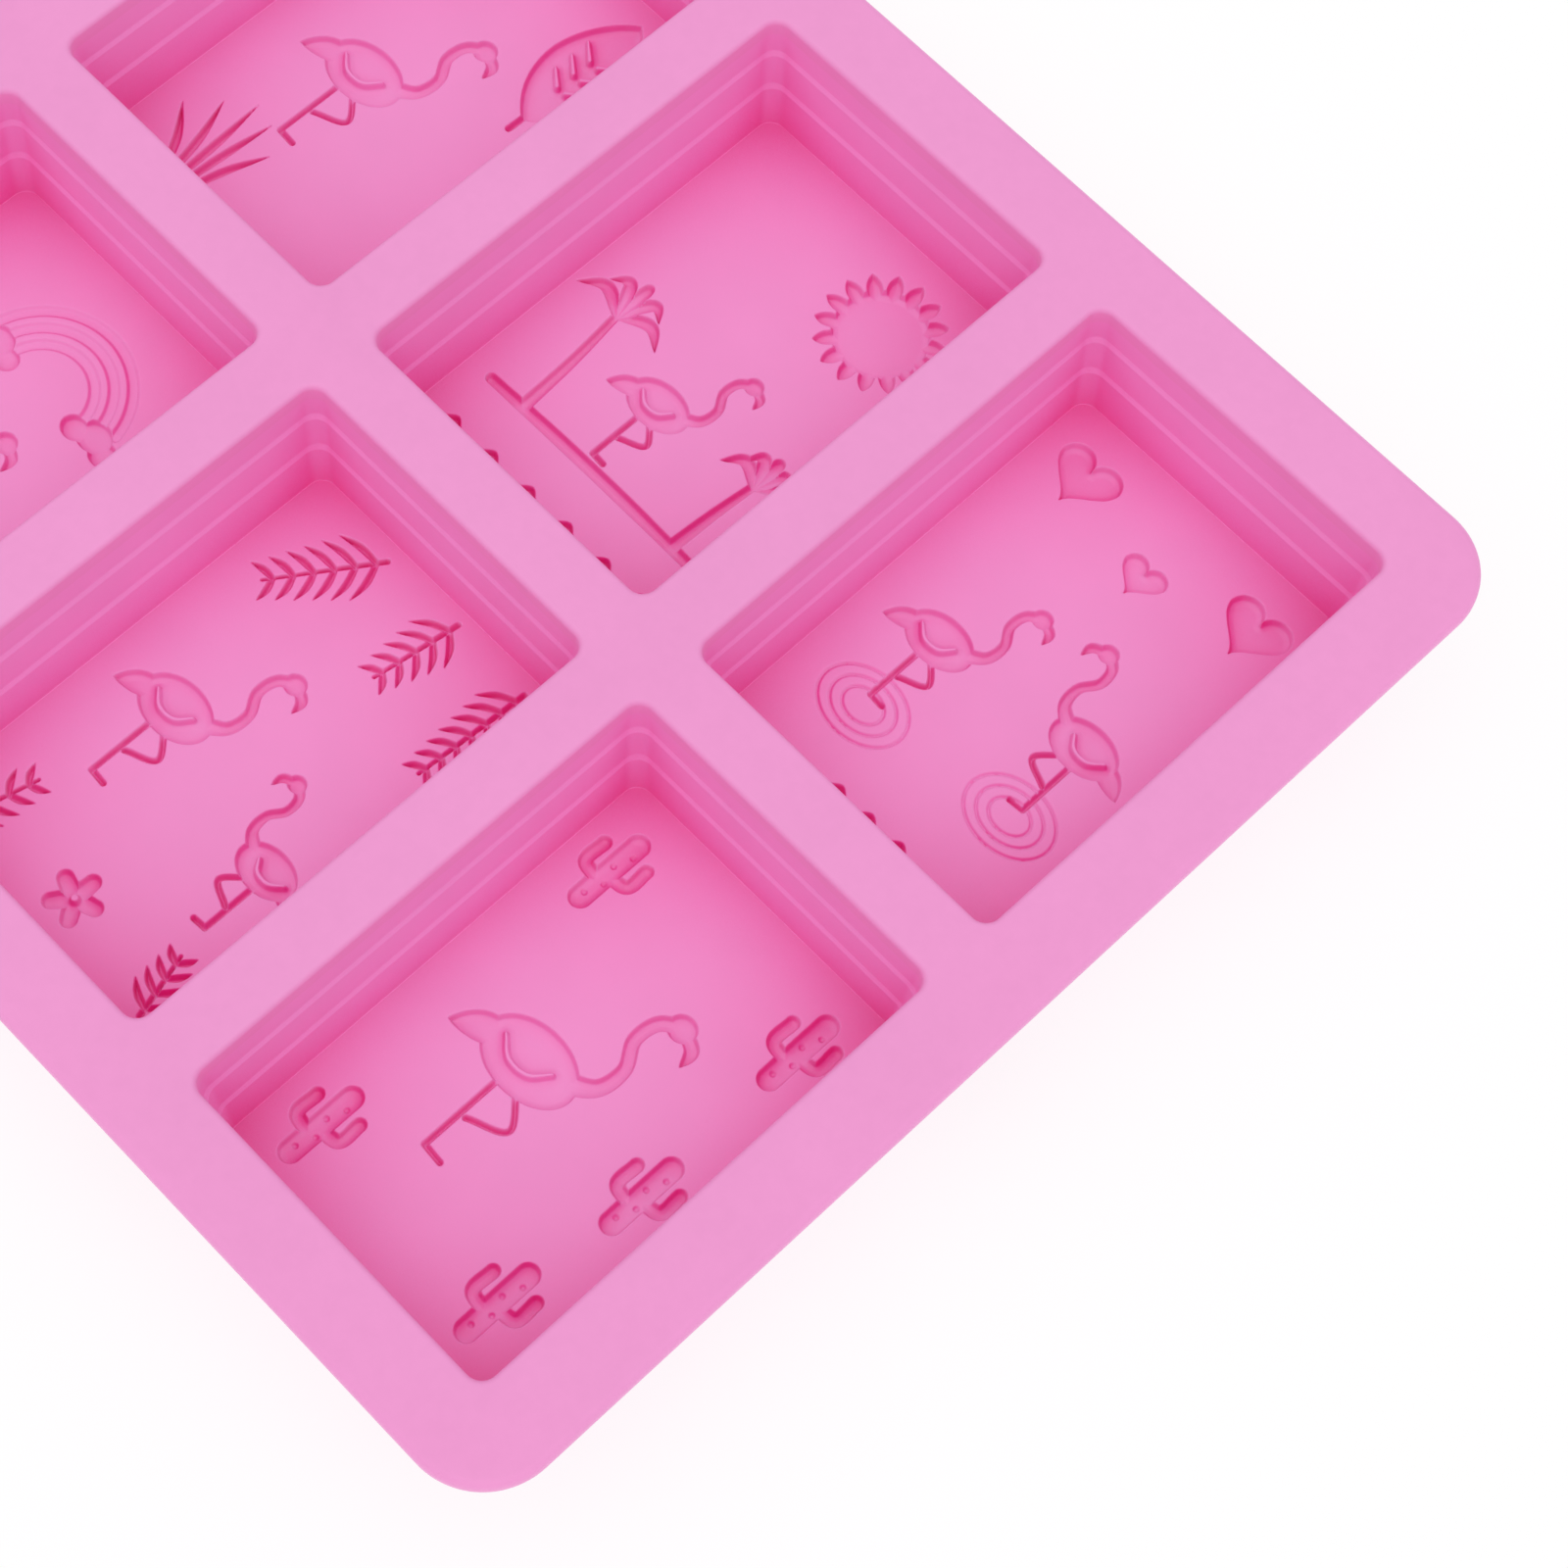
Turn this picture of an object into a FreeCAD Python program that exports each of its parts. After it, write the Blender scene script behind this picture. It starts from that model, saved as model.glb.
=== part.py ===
import FreeCAD, Part
import math
import os

# Six-cavity moulding tray for soap bars: one soft silicone moulding, written as
# the regions it is made of.  A flat deck with a soft rounded edge ties six
# open cups together; each cup has a stepped wall and a floor with a sunk
# picture.  Millimetres.  +Z is up, the origin is under the middle of the tray
# on the plane that it rests on, +X runs along the three columns, +Y along the
# two rows.

# ---- driving dimensions -------------------------------------------------
CAVITY_X = 56.0          # cavity opening across a column
CAVITY_Y = 80.0          # cavity opening along a row
COLUMNS = 3
ROWS = 2
WEB_X = 10.4             # deck between neighbouring columns
WEB_Y = 10.2             # deck between the two rows
MARGIN_X = 12.7          # deck outside the end columns
MARGIN_Y = 12.0          # deck outside the rows
DECK_CORNER_R = 11.5     # plan corner of the tray
DECK_T = 3.0             # deck thickness
DECK_TOP_R = 1.3         # rounding of the outer top edge
DECK_UNDER_R = 1.0       # rounding of the outer lower edge
LIP_R = 0.9              # rounding of each cavity's lip
HEIGHT = 26.0            # overall height
FLOOR_T = 3.0            # floor thickness
CAVITY_R = 2.5           # plan corner of a cavity opening
WALL_T_TOP = 2.6         # cup wall at the deck
WALL_T_FOOT = 1.5        # how far the foot of a cup stands outside the opening line
LEDGE_1 = 7.6            # depth of the first ledge below the deck's top
LEDGE_2 = 14.6           # depth of the second ledge
LEDGE_W = 0.4            # width of each ledge
LEDGE_H = 0.5            # height over which a ledge slopes
SECTION_DRAFT = 0.3      # draft of each wall section
FLOOR_FILLET = 0.4       # fillet between wall and floor
FOOT_R = 1.0             # rounding under a cup
RELIEF_D = 1.5           # depth of the sunk picture
SHALLOW_D = 0.45          # depth of its faint lines
DIMPLE_D = 0.3           # extra depth of its small dimples
RIDGE_UP = 0.8           # height of the low ridges left standing in it

TRAY_X = COLUMNS * CAVITY_X + (COLUMNS - 1) * WEB_X + 2 * MARGIN_X
TRAY_Y = ROWS * CAVITY_Y + (ROWS - 1) * WEB_Y + 2 * MARGIN_Y
DECK_UNDER = HEIGHT - DECK_T

# ---- sunk pictures ------------------------------------------------------
def bird(s, cu, cv, k, d):
    # a plain wading bird built from simple strokes; k is its scale, d is 1 facing right or -1 facing left
    def at(u, v):
        return (cu + d * k * u, cv + k * v)

    s.append(("cut", "disc", cu, cv, 6.4 * k, 4.3 * k))
    s.append(("cut", "blade", 3.0 * k, 3.6 * k, [at(-3.0, 0.2), at(-6.4, -0.9), at(-9.8, -3.0)]))
    s.append(("cut", "line", [2.6 * k, 1.9 * k, 1.6 * k, 1.6 * k, 1.7 * k, 1.8 * k],
              [at(4.4, 1.0), at(7.4, 3.4), at(7.8, 6.8), at(6.0, 10.2), at(6.6, 13.4), at(8.6, 14.8)]))
    s.append(("cut", "disc", at(8.7, 14.7)[0], at(8.7, 14.7)[1], 1.75 * k, 1.6 * k))
    s.append(("cut", "blade", 1.5 * k, 1.6 * k, [at(9.4, 14.6), at(11.3, 13.6), at(11.7, 11.4)]))
    s.append(("cut", "line", .85, [at(-0.8, -3.4), at(-0.8, -9.0), at(-0.8, -14.6)]))
    s.append(("cut", "line", .85, [at(-0.8, -14.6), at(1.9, -14.8)]))
    s.append(("cut", "line", .85, [at(1.6, -3.4), at(4.4, -7.0), at(0.0, -9.4)]))
    s.append(("keep", "line", [.45, .65, .65, .45], [at(-4.2, 0.4), at(-1.8, -1.4), at(1.0, -1.2), at(2.8, 0.8)]))


def heart(cu, tip_v, wide, tall):
    right = []
    for i in range(1, 12):
        t = math.pi * (1.0 - i / 12.0)
        right.append((math.sin(t) ** 3 * .5,
                      (13 * math.cos(t) - 5 * math.cos(2 * t) - 2 * math.cos(3 * t) - math.cos(4 * t) + 17) / 29.0))
    pts = [(cu, tip_v, 1)] + [(cu + u * wide, tip_v + v * tall) for u, v in right]
    pts.append((cu, tip_v + tall * 22.0 / 29.0, 1))
    return pts + [(cu - u * wide, tip_v + v * tall) for u, v in right[::-1]]


def cactus(s, cu, cv, k):
    s.append(("cut", "line", 3.4 * k, [(cu, cv), (cu, cv + 5.5 * k), (cu, cv + 11.0 * k)]))
    s.append(("cut", "line", 2.0 * k, [(cu, cv + 3.6 * k), (cu - 3.4 * k, cv + 4.2 * k), (cu - 3.6 * k, cv + 8.0 * k)]))
    s.append(("cut", "line", 2.0 * k, [(cu, cv + 5.0 * k), (cu + 3.4 * k, cv + 5.6 * k), (cu + 3.6 * k, cv + 9.2 * k)]))
    for i in range(4):
        s.append(("dimple", "disc", cu + (.5 if i % 2 else -.5) * k, cv + (1.2 + 2.8 * i) * k, .48, .48))


def frond(s, bu, bv, tu, tv, count, reach):
    # a straight stem with even pairs of leaflets that shorten towards the tip
    du, dv = tu - bu, tv - bv
    n = math.hypot(du, dv)
    du, dv = du / n, dv / n
    s.append(("cut", "line", [.8, .6, .45], [(bu, bv), (bu + du * n * .5, bv + dv * n * .5), (tu, tv)]))
    for i in range(count):
        t = (i + .5) / count * n
        r = reach * (1.0 - .5 * i / count)
        pu, pv = bu + du * t, bv + dv * t
        for side in (-1, 1):
            s.append(("cut", "blade", .7, 1.0, [
                (pu, pv), (pu + du * r * .3 - side * dv * r * .45, pv + dv * r * .3 + side * du * r * .45),
                (pu + du * r * .7 - side * dv * r * .8, pv + dv * r * .7 + side * du * r * .8)]))


def palm(s, bu, bv, lean, tall, reach):
    cu, cv = bu + lean, bv + tall
    s.append(("cut", "line", [2.0, 1.6, 1.2], [(bu, bv), (bu + lean * .35, bv + tall * .5), (cu, cv)]))
    for deg in (12, 52, 90, 128, 168):
        c, n = math.cos(math.radians(deg)), math.sin(math.radians(deg))
        s.append(("cut", "blade", 1.1, 2.0, [(cu, cv), (cu + c * reach * .6, cv + n * reach * .6 + 1.2),
                                             (cu + c * reach, cv + n * reach * .75 - 1.6)]))


def waves(s, v, places):
    for u in places:
        s.append(("cut", "line", [.35, .85, .35], [(u - 1.6, v), (u, v + .9), (u + 1.6, v)]))


def cactus_picture():
    s = []
    bird(s, 22.0, 39.0, 1.25, 1)
    for cu, cv in ((9.0, 60.5), (46.2, 61.0), (46.4, 31.5), (9.4, 7.0), (44.0, 7.5)):
        cactus(s, cu, cv, 1.0)
    return s


def hearts_picture():
    s = []
    s.append(("cut", "poly", heart(11.0, 63.5, 11.0, 9.4)))
    s.append(("cut", "poly", heart(28.0, 59.5, 7.6, 6.4)))
    s.append(("cut", "poly", heart(45.0, 63.5, 11.0, 9.4)))
    bird(s, 15.2, 34.6, .9, 1)
    bird(s, 41.2, 37.6, .9, -1)
    for cu, cv in ((15.0, 19.4), (41.4, 22.4)):
        for r in (3.4, 5.4, 7.4):
            s.append(("shallow", "ring", cu, cv, r, r * .75, .42))
    waves(s, 7.2, (22.0, 28.0, 34.0))
    return s


def fern_picture():
    s = []
    bird(s, 15.6, 38.4, 1.0, 1)
    bird(s, 43.0, 31.4, .8, -1)
    frond(s, 18.6, 75.6, 8.6, 60.6, 6, 6.6)
    frond(s, 33.0, 76.2, 31.0, 62.0, 5, 5.6)
    frond(s, 47.6, 75.6, 46.4, 56.6, 7, 5.6)
    frond(s, 8.0, 5.4, 11.0, 17.4, 4, 5.0)
    frond(s, 47.4, 4.8, 44.6, 14.6, 4, 4.6)
    for i in range(5):
        c, n = math.cos(math.radians(90 + 72 * i)), math.sin(math.radians(90 + 72 * i))
        s.append(("cut", "line", [1.6, 2.6, 2.4], [(28.0, 9.6), (28.0 + 1.9 * c, 9.6 + 1.9 * n), (28.0 + 3.3 * c, 9.6 + 3.3 * n)]))
    s.append(("keep", "disc", 28.0, 9.6, .6, .6))
    return s


def palm_picture():
    s = []
    s.append(("cut", "disc", 40.0, 64.0, 7.4, 7.4))
    for i in range(16):
        c, n = math.cos(math.radians(22.5 * i + 7.0)), math.sin(math.radians(22.5 * i + 7.0))
        s.append(("cut", "blade", 2.2, 2.3, [(40.0 + 6.2 * c, 64.0 + 6.2 * n), (40.0 + 7.8 * c, 64.0 + 7.8 * n),
                                             (40.0 + 10.2 * c, 64.0 + 10.2 * n)]))
    palm(s, 13.0, 17.4, -1.8, 20.0, 8.6)
    palm(s, 44.6, 17.4, 1.0, 15.0, 6.6)
    bird(s, 26.4, 31.4, .85, 1)
    s.append(("cut", "line", [1.6, 2.0, 2.0, 1.6], [(6.4, 16.6), (20.0, 16.9), (36.0, 16.9), (50.0, 16.6)]))
    waves(s, 7.4, (8.0, 16.0, 24.0, 32.0, 40.0, 48.0))
    return s


def leaf_picture():
    s = []
    bird(s, 20.6, 38.2, 1.1, 1)
    s.append(("cut", "blade", 3.0, 13.0, [(43.0, 52.0), (43.0, 63.0), (43.0, 75.0)]))
    s.append(("cut", "line", 1.0, [(43.0, 54.0), (42.8, 47.6)]))
    for v in (58.2, 61.6, 65.0):
        for side in (-1, 1):
            s.append(("keep", "line", [.7, .45], [(43.0 + side * .9, v), (43.0 + side * 3.6, v + 2.2)]))
    for i, (du, dv) in enumerate(((-9.0, 10.0), (-5.4, 14.6), (-1.8, 18.0), (1.8, 17.0), (5.2, 13.2))):
        bu = 13.2 + 1.2 * i
        s.append(("cut", "blade", .9, 1.3, [(bu, 4.6), (bu + du * .35, 4.6 + dv * .55), (bu + du * .8, 4.6 + dv)]))
    for u, v, r in ((8.6, 63.0, 2.6), (12.2, 64.4, 3.2), (16.2, 63.2, 2.7)):
        s.append(("cut", "disc", u, v, r, r * .85))
    return s


def rainbow_picture():
    s = []
    for r in (8.0, 10.8, 13.6):
        pts = []
        for i in range(15):
            a = math.radians(14 + 152 * i / 14.0)
            pts.append((30.0 + r * math.cos(a), 57.0 + r * math.sin(a)))
        s.append(("shallow", "line", 1.7, pts))
    for cu in (19.0, 41.0):
        for du, dv, r in ((-3.0, 0.0, 2.3), (0.0, 1.1, 2.9), (3.2, 0.0, 2.3)):
            s.append(("cut", "disc", cu + du, 57.0 + dv, r, r * .85))
    bird(s, 24.0, 32.6, 1.05, 1)
    for u, v in ((12.0, 12.4), (24.0, 9.0), (42.0, 12.8), (35.0, 6.8)):
        s.append(("cut", "line", [.35, .8, .45, .8, .35], [(u - 4.2, v), (u - 2.1, v + 1.0), (u, v), (u + 2.1, v + 1.0), (u + 4.2, v)]))
    return s


MOTIFS = {"flamingo_cactus": cactus_picture, "flamingo_hearts": hearts_picture, "flamingo_fern": fern_picture,
          "flamingo_palm": palm_picture, "flamingo_leaf": leaf_picture, "flamingo_rainbow": rainbow_picture}



def catmull(pts, closed, step):
    """Smooth line through the points, sampled about every step mm; a third value of 1 keeps a corner."""
    n = len(pts)
    P = [(p[0], p[1]) for p in pts]
    corner = [len(p) > 2 and p[2] == 1 for p in pts]
    out = []
    last = n if closed else n - 1
    for i in range(last):
        p1, p2 = P[i], P[(i + 1) % n]
        p0 = P[(i - 1) % n] if (closed or i > 0) else p1
        p3 = P[(i + 2) % n] if (closed or i + 2 < n) else p2
        d = math.dist(p1, p2)
        if d < 1e-9:
            continue
        # finite tangents, limited by the neighbouring spans, straight at corners
        def tang(a, b, c, isc, fwd):
            if isc or a == b or b == c:
                return ((c[0] - b[0]), (c[1] - b[1])) if fwd else ((b[0] - a[0]), (b[1] - a[1]))
            d1, d2 = math.dist(a, b), math.dist(b, c)
            tx = ((b[0] - a[0]) / d1 * d2 + (c[0] - b[0]) / d2 * d1) / (d1 + d2)
            ty = ((b[1] - a[1]) / d1 * d2 + (c[1] - b[1]) / d2 * d1) / (d1 + d2)
            return (tx, ty)
        t1 = tang(p0, p1, p2, corner[i], True)
        t2 = tang(p1, p2, p3, corner[(i + 1) % n], False)
        if corner[i] or p0 == p1:
            m1 = ((p2[0] - p1[0]), (p2[1] - p1[1]))
        else:
            m1 = (t1[0] * d, t1[1] * d)
        if corner[(i + 1) % n] or p3 == p2:
            m2 = ((p2[0] - p1[0]), (p2[1] - p1[1]))
        else:
            m2 = (t2[0] * d, t2[1] * d)
        k = max(1, int(math.ceil(d / step)))
        for j in range(k):
            t = j / k
            h00 = 2 * t ** 3 - 3 * t ** 2 + 1
            h10 = t ** 3 - 2 * t ** 2 + t
            h01 = -2 * t ** 3 + 3 * t ** 2
            h11 = t ** 3 - t ** 2
            out.append((h00 * p1[0] + h10 * m1[0] + h01 * p2[0] + h11 * m2[0],
                        h00 * p1[1] + h10 * m1[1] + h01 * p2[1] + h11 * m2[1]))
    if not closed:
        out.append(P[-1])
    return out


def ribbon(line, widths, cap):
    """Closed outline around a line with a width at each point; cap round or pointed at the far end."""
    n = len(line)
    L, R = [], []
    for i, (x, y) in enumerate(line):
        a = line[max(i - 1, 0)]
        b = line[min(i + 1, n - 1)]
        d = math.dist(a, b) or 1.0
        nx, ny = -(b[1] - a[1]) / d, (b[0] - a[0]) / d
        w = widths[i] / 2
        L.append((x + nx * w, y + ny * w))
        R.append((x - nx * w, y - ny * w))

    def arc(c, start, w, k=4):
        res = []
        a0 = math.atan2(start[1] - c[1], start[0] - c[0])
        for j in range(1, k):
            a = a0 - math.pi * j / k
            res.append((c[0] + w * math.cos(a), c[1] + w * math.sin(a)))
        return res
    out = list(L)
    if cap == "round":
        out += arc(line[-1], L[-1], widths[-1] / 2)
        out += R[::-1]
    else:
        out += [line[-1]] + R[::-1][1:]
        out = [p for p in out[:n - 1]] + out[n:]
    out += arc(line[0], R[0], widths[0] / 2)
    return out


def outline(shape, step):
    """Closed polygon of any drawing entry."""
    kind = shape[1]
    if kind == "poly":
        return catmull(shape[2], True, step)
    if kind == "disc":
        _, _, cu, cv, ru, rv = shape
        k = max(12, int(2 * math.pi * max(ru, rv) / step))
        return [(cu + ru * math.cos(2 * math.pi * j / k), cv + rv * math.sin(2 * math.pi * j / k)) for j in range(k)]
    if kind == "line":
        w, pts = shape[2], shape[3]
        if not isinstance(w, (list, tuple)):
            w = [w] * len(pts)
        line = catmull(pts, False, step)
        # width follows the same parameter as the points
        acc = [0.0]
        for a, b in zip(pts, pts[1:]):
            acc.append(acc[-1] + math.dist(a[:2], b[:2]))
        ws, s = [], 0.0
        tot = sum(math.dist(a, b) for a, b in zip(line, line[1:]))
        for i, p in enumerate(line):
            if i:
                s += math.dist(line[i - 1], p)
            t = s / tot * acc[-1]
            j = 0
            while j < len(acc) - 2 and t > acc[j + 1]:
                j += 1
            f = (t - acc[j]) / max(acc[j + 1] - acc[j], 1e-9)
            ws.append(w[j] + (w[min(j + 1, len(w) - 1)] - w[j]) * min(max(f, 0), 1))
        return ribbon(line, ws, "round")
    if kind == "blade":
        base, wide, pts = shape[2], shape[3], shape[4]
        line = catmull(pts, False, step)
        n = len(line)
        ws = []
        for i in range(n):
            t = i / (n - 1)
            body = base + (wide - base) * math.sin(math.pi * min(t / 0.9, 1.0)) ** 1.0 if t < 0.45 else wide
            tip = 1.0 if t < 0.45 else (1 - ((t - 0.45) / 0.55) ** 1.6)
            ws.append(max(body * tip, 0.0))
        return ribbon(line, ws, "point")
    raise ValueError(kind)


# ---- solids -------------------------------------------------------------
V = FreeCAD.Vector
LAYOUT = [("flamingo_leaf", 0, 1), ("flamingo_palm", 1, 1), ("flamingo_hearts", 2, 1),
          ("flamingo_rainbow", 0, 0), ("flamingo_fern", 1, 0), ("flamingo_cactus", 2, 0)]


def corner_of(col, row):
    """Lower left corner of a cavity opening in the tray's frame."""
    return (-TRAY_X / 2 + MARGIN_X + col * (CAVITY_X + WEB_X), -TRAY_Y / 2 + MARGIN_Y + row * (CAVITY_Y + WEB_Y))


def rounded(cx, cy, sx, sy, r, z):
    """Rounded rectangle wire centred on (cx, cy)."""
    x0, x1, y0, y1 = cx - sx / 2, cx + sx / 2, cy - sy / 2, cy + sy / 2
    k = r * (1 - math.sqrt(0.5))
    e = [Part.makeLine(V(x0 + r, y0, z), V(x1 - r, y0, z)),
         Part.Arc(V(x1 - r, y0, z), V(x1 - k, y0 + k, z), V(x1, y0 + r, z)).toShape(),
         Part.makeLine(V(x1, y0 + r, z), V(x1, y1 - r, z)),
         Part.Arc(V(x1, y1 - r, z), V(x1 - k, y1 - k, z), V(x1 - r, y1, z)).toShape(),
         Part.makeLine(V(x1 - r, y1, z), V(x0 + r, y1, z)),
         Part.Arc(V(x0 + r, y1, z), V(x0 + k, y1 - k, z), V(x0, y1 - r, z)).toShape(),
         Part.makeLine(V(x0, y1 - r, z), V(x0, y0 + r, z)),
         Part.Arc(V(x0, y0 + r, z), V(x0 + k, y0 + k, z), V(x0 + r, y0, z)).toShape()]
    return Part.Wire(e)


def frustums(cx, cy, sections):
    """Solid through (z, offset from the opening line, corner radius) sections, straight between them."""
    wires = [rounded(cx, cy, CAVITY_X + 2 * o, CAVITY_Y + 2 * o, r, z) for z, o, r in sections]
    return Part.makeLoft(wires, True, True)


def cavity_sections():
    """Stepped inner wall from above the deck down to the floor."""
    d, w, h = SECTION_DRAFT, LEDGE_W, LEDGE_H
    floor_z = FLOOR_T
    end = 2 * w + 3 * d
    out = [(HEIGHT + 1.0, 0.0, CAVITY_R), (HEIGHT - LEDGE_1 + h, -d, CAVITY_R), (HEIGHT - LEDGE_1, -d - w, CAVITY_R),
           (HEIGHT - LEDGE_2 + h, -2 * d - w, CAVITY_R), (HEIGHT - LEDGE_2, -2 * d - 2 * w, CAVITY_R),
           (floor_z + FLOOR_FILLET, -end, CAVITY_R)]
    for k in (1, 2, 3):
        a = math.radians(30 * k)
        out.append((floor_z + FLOOR_FILLET * (1 - math.sin(a)), -end - FLOOR_FILLET * (1 - math.cos(a)), CAVITY_R))
    return out


def self_crossing(poly):
    n = len(poly)

    def side(a, b, c):
        return (b[0] - a[0]) * (c[1] - a[1]) - (b[1] - a[1]) * (c[0] - a[0])
    for i in range(n):
        a, b = poly[i], poly[(i + 1) % n]
        for j in range(i + 2, n):
            if i == 0 and j == n - 1:
                continue
            c, d = poly[j], poly[(j + 1) % n]
            if side(a, b, c) * side(a, b, d) < 0 and side(c, d, a) * side(c, d, b) < 0:
                return True
    return False


def clean(poly):
    out = []
    for p in poly:
        if not out or math.dist(p, out[-1]) > 0.06:
            out.append(p)
    while len(out) > 3 and math.dist(out[0], out[-1]) < 0.06:
        out.pop()
    return out


def prism(poly, ox, oy, z0, z1):
    poly = clean(poly)
    if len(poly) < 3 or self_crossing(poly):
        return None
    w = Part.makePolygon([V(ox + u, oy + v, z0) for u, v in poly + poly[:1]])
    return Part.Face(w).extrude(V(0, 0, z1 - z0))


def stroke_prisms(shape, ox, oy, z0, z1):
    """A bent stroke as straight tapered lengths with round joints."""
    if shape[1] == "line":
        w, pts = shape[2], shape[3]
        ws = list(w) if isinstance(w, (list, tuple)) else [w] * len(pts)
    else:
        pts = shape[4]
        ws = [shape[2]] + [shape[3]] * (len(pts) - 2) + [0.15]
    out = []
    for i in range(len(pts) - 1):
        a, b = pts[i], pts[i + 1]
        d = math.dist(a, b)
        nx, ny = -(b[1] - a[1]) / d, (b[0] - a[0]) / d
        ra, rb = ws[i] / 2, ws[i + 1] / 2
        out.append(prism([(a[0] + nx * ra, a[1] + ny * ra), (b[0] + nx * rb, b[1] + ny * rb),
                          (b[0] - nx * rb, b[1] - ny * rb), (a[0] - nx * ra, a[1] - ny * ra)], ox, oy, z0, z1))
    for p, w in zip(pts, ws):
        if w > 0.3:
            out.append(Part.makeCylinder(w / 2, z1 - z0, V(ox + p[0], oy + p[1], z0)))
    return [s for s in out if s]


def relief_tools(motif, ox, oy):
    """Solids of each kind of stroke, each over its own span of height."""
    bed, above = FLOOR_T - RELIEF_D, FLOOR_T + 1.0
    spans = {"cut": (bed, above), "keep": (bed - 0.1, above + 0.1), "ridge": (bed - 0.1, bed + RIDGE_UP),
             "shallow": (FLOOR_T - SHALLOW_D, above), "dimple": (bed - DIMPLE_D, above)}
    made = {kind: [] for kind in spans}
    for shape in MOTIFS[motif]():
        z0, z1 = spans[shape[0]]
        into = made[shape[0]]
        if shape[1] == "ring":
            _, _, cu, cv, rx, ry, w = shape
            rings = []
            for s in (w / 2, -w / 2):
                e = Part.Ellipse(V(ox + cu, oy + cv, z0), rx + s, ry + s).toShape()
                rings.append(Part.Face(Part.Wire([e])).extrude(V(0, 0, z1 - z0)))
            into.append(rings[0].cut(rings[1]))
            continue
        if shape[1] == "disc" and abs(shape[4] - shape[5]) < 1e-9:
            into.append(Part.makeCylinder(shape[4], z1 - z0, V(ox + shape[2], oy + shape[3], z0)))
            continue
        p = prism(outline(shape, 1.5), ox, oy, z0, z1)
        if p:
            into.append(p)
        elif shape[1] in ("line", "blade"):
            into.extend(stroke_prisms(shape, ox, oy, z0, z1))
        else:
            print("not used:", motif, shape[1])
    return made


def build():
    parts = {}
    # deck
    z = DECK_UNDER
    deck = Part.Face(rounded(0, 0, TRAY_X, TRAY_Y, DECK_CORNER_R, z)).extrude(V(0, 0, DECK_T))
    top = [e for e in deck.Edges if all(abs(v.Z - HEIGHT) < 1e-6 for v in e.Vertexes)]
    low = [e for e in deck.Edges if all(abs(v.Z - z) < 1e-6 for v in e.Vertexes)]
    deck = deck.makeFillet(DECK_TOP_R, top)
    low = [e for e in deck.Edges if all(abs(v.Z - z) < 1e-6 for v in e.Vertexes)]
    deck = deck.makeFillet(DECK_UNDER_R, low)
    centres = {}
    for motif, col, row in LAYOUT:
        ox, oy = corner_of(col, row)
        centres[motif] = (ox, oy, ox + CAVITY_X / 2, oy + CAVITY_Y / 2)
    for motif, (ox, oy, cx, cy) in centres.items():
        deck = deck.cut(frustums(cx, cy, [(HEIGHT + 1.0, 0.0, CAVITY_R), (HEIGHT - LEDGE_1 + LEDGE_H, -SECTION_DRAFT, CAVITY_R)]))
    lips = [e for e in deck.Edges if all(abs(v.Z - HEIGHT) < 1e-6 for v in e.Vertexes)
            and max(abs(v.X) for v in e.Vertexes) < TRAY_X / 2 - MARGIN_X / 2 and max(abs(v.Y) for v in e.Vertexes) < TRAY_Y / 2 - MARGIN_Y / 2]
    deck = deck.makeFillet(LIP_R, lips)
    parts["top_deck"] = deck
    # cups
    for motif, (ox, oy, cx, cy) in centres.items():
        ro = CAVITY_R + WALL_T_TOP
        rf = CAVITY_R + WALL_T_FOOT
        body = frustums(cx, cy, [(0.0, WALL_T_FOOT, rf), (DECK_UNDER, WALL_T_TOP, ro)])
        foot = [e for e in body.Edges if all(abs(v.Z) < 1e-6 for v in e.Vertexes)]
        body = body.makeFillet(FOOT_R, foot)
        split = Part.makeBox(CAVITY_X + 20, CAVITY_Y + 20, FLOOR_T, V(cx - CAVITY_X / 2 - 10, cy - CAVITY_Y / 2 - 10, 0))
        floor = body.common(split)
        wall = body.cut(split).cut(frustums(cx, cy, cavity_sections()))
        made = relief_tools(motif, ox, oy)
        inset = -2 * LEDGE_W - 3 * SECTION_DRAFT - FLOOR_FILLET
        area = frustums(cx, cy, [(0.5, inset, CAVITY_R), (FLOOR_T + 1.2, inset, CAVITY_R)])
        tool = made["cut"][0].multiFuse(made["cut"][1:]).common(area)
        if made["keep"] + made["ridge"]:
            tool = tool.cut(made["keep"] + made["ridge"])
        floor = floor.cut(tool)
        for kind in ("shallow", "dimple"):
            if made[kind]:
                fine = made[kind][0].multiFuse(made[kind][1:]) if len(made[kind]) > 1 else made[kind][0]
                floor = floor.cut(fine.common(area))
        parts["cup_wall_" + motif] = wall
        parts["cup_floor_" + motif] = floor
    return parts


os.makedirs("parts", exist_ok=True)
for name, shape in build().items():
    solids = shape.Solids
    body = solids[0] if len(solids) == 1 else Part.makeCompound(solids)
    bb = body.BoundBox
    print("%-28s solids %d faces %4d valid %s vol %.1f cm3  z %.2f..%.2f" % (
        name, len(solids), len(body.Faces), body.isValid(), body.Volume / 1000, bb.ZMin, bb.ZMax))
    body.exportStep("parts/%s.step" % name)
print("tray %.1f x %.1f x %.1f" % (TRAY_X, TRAY_Y, HEIGHT))
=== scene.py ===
import math

import bpy
import numpy as np
from mathutils import Matrix, Vector
from mathutils.geometry import delaunay_2d_cdt


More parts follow.
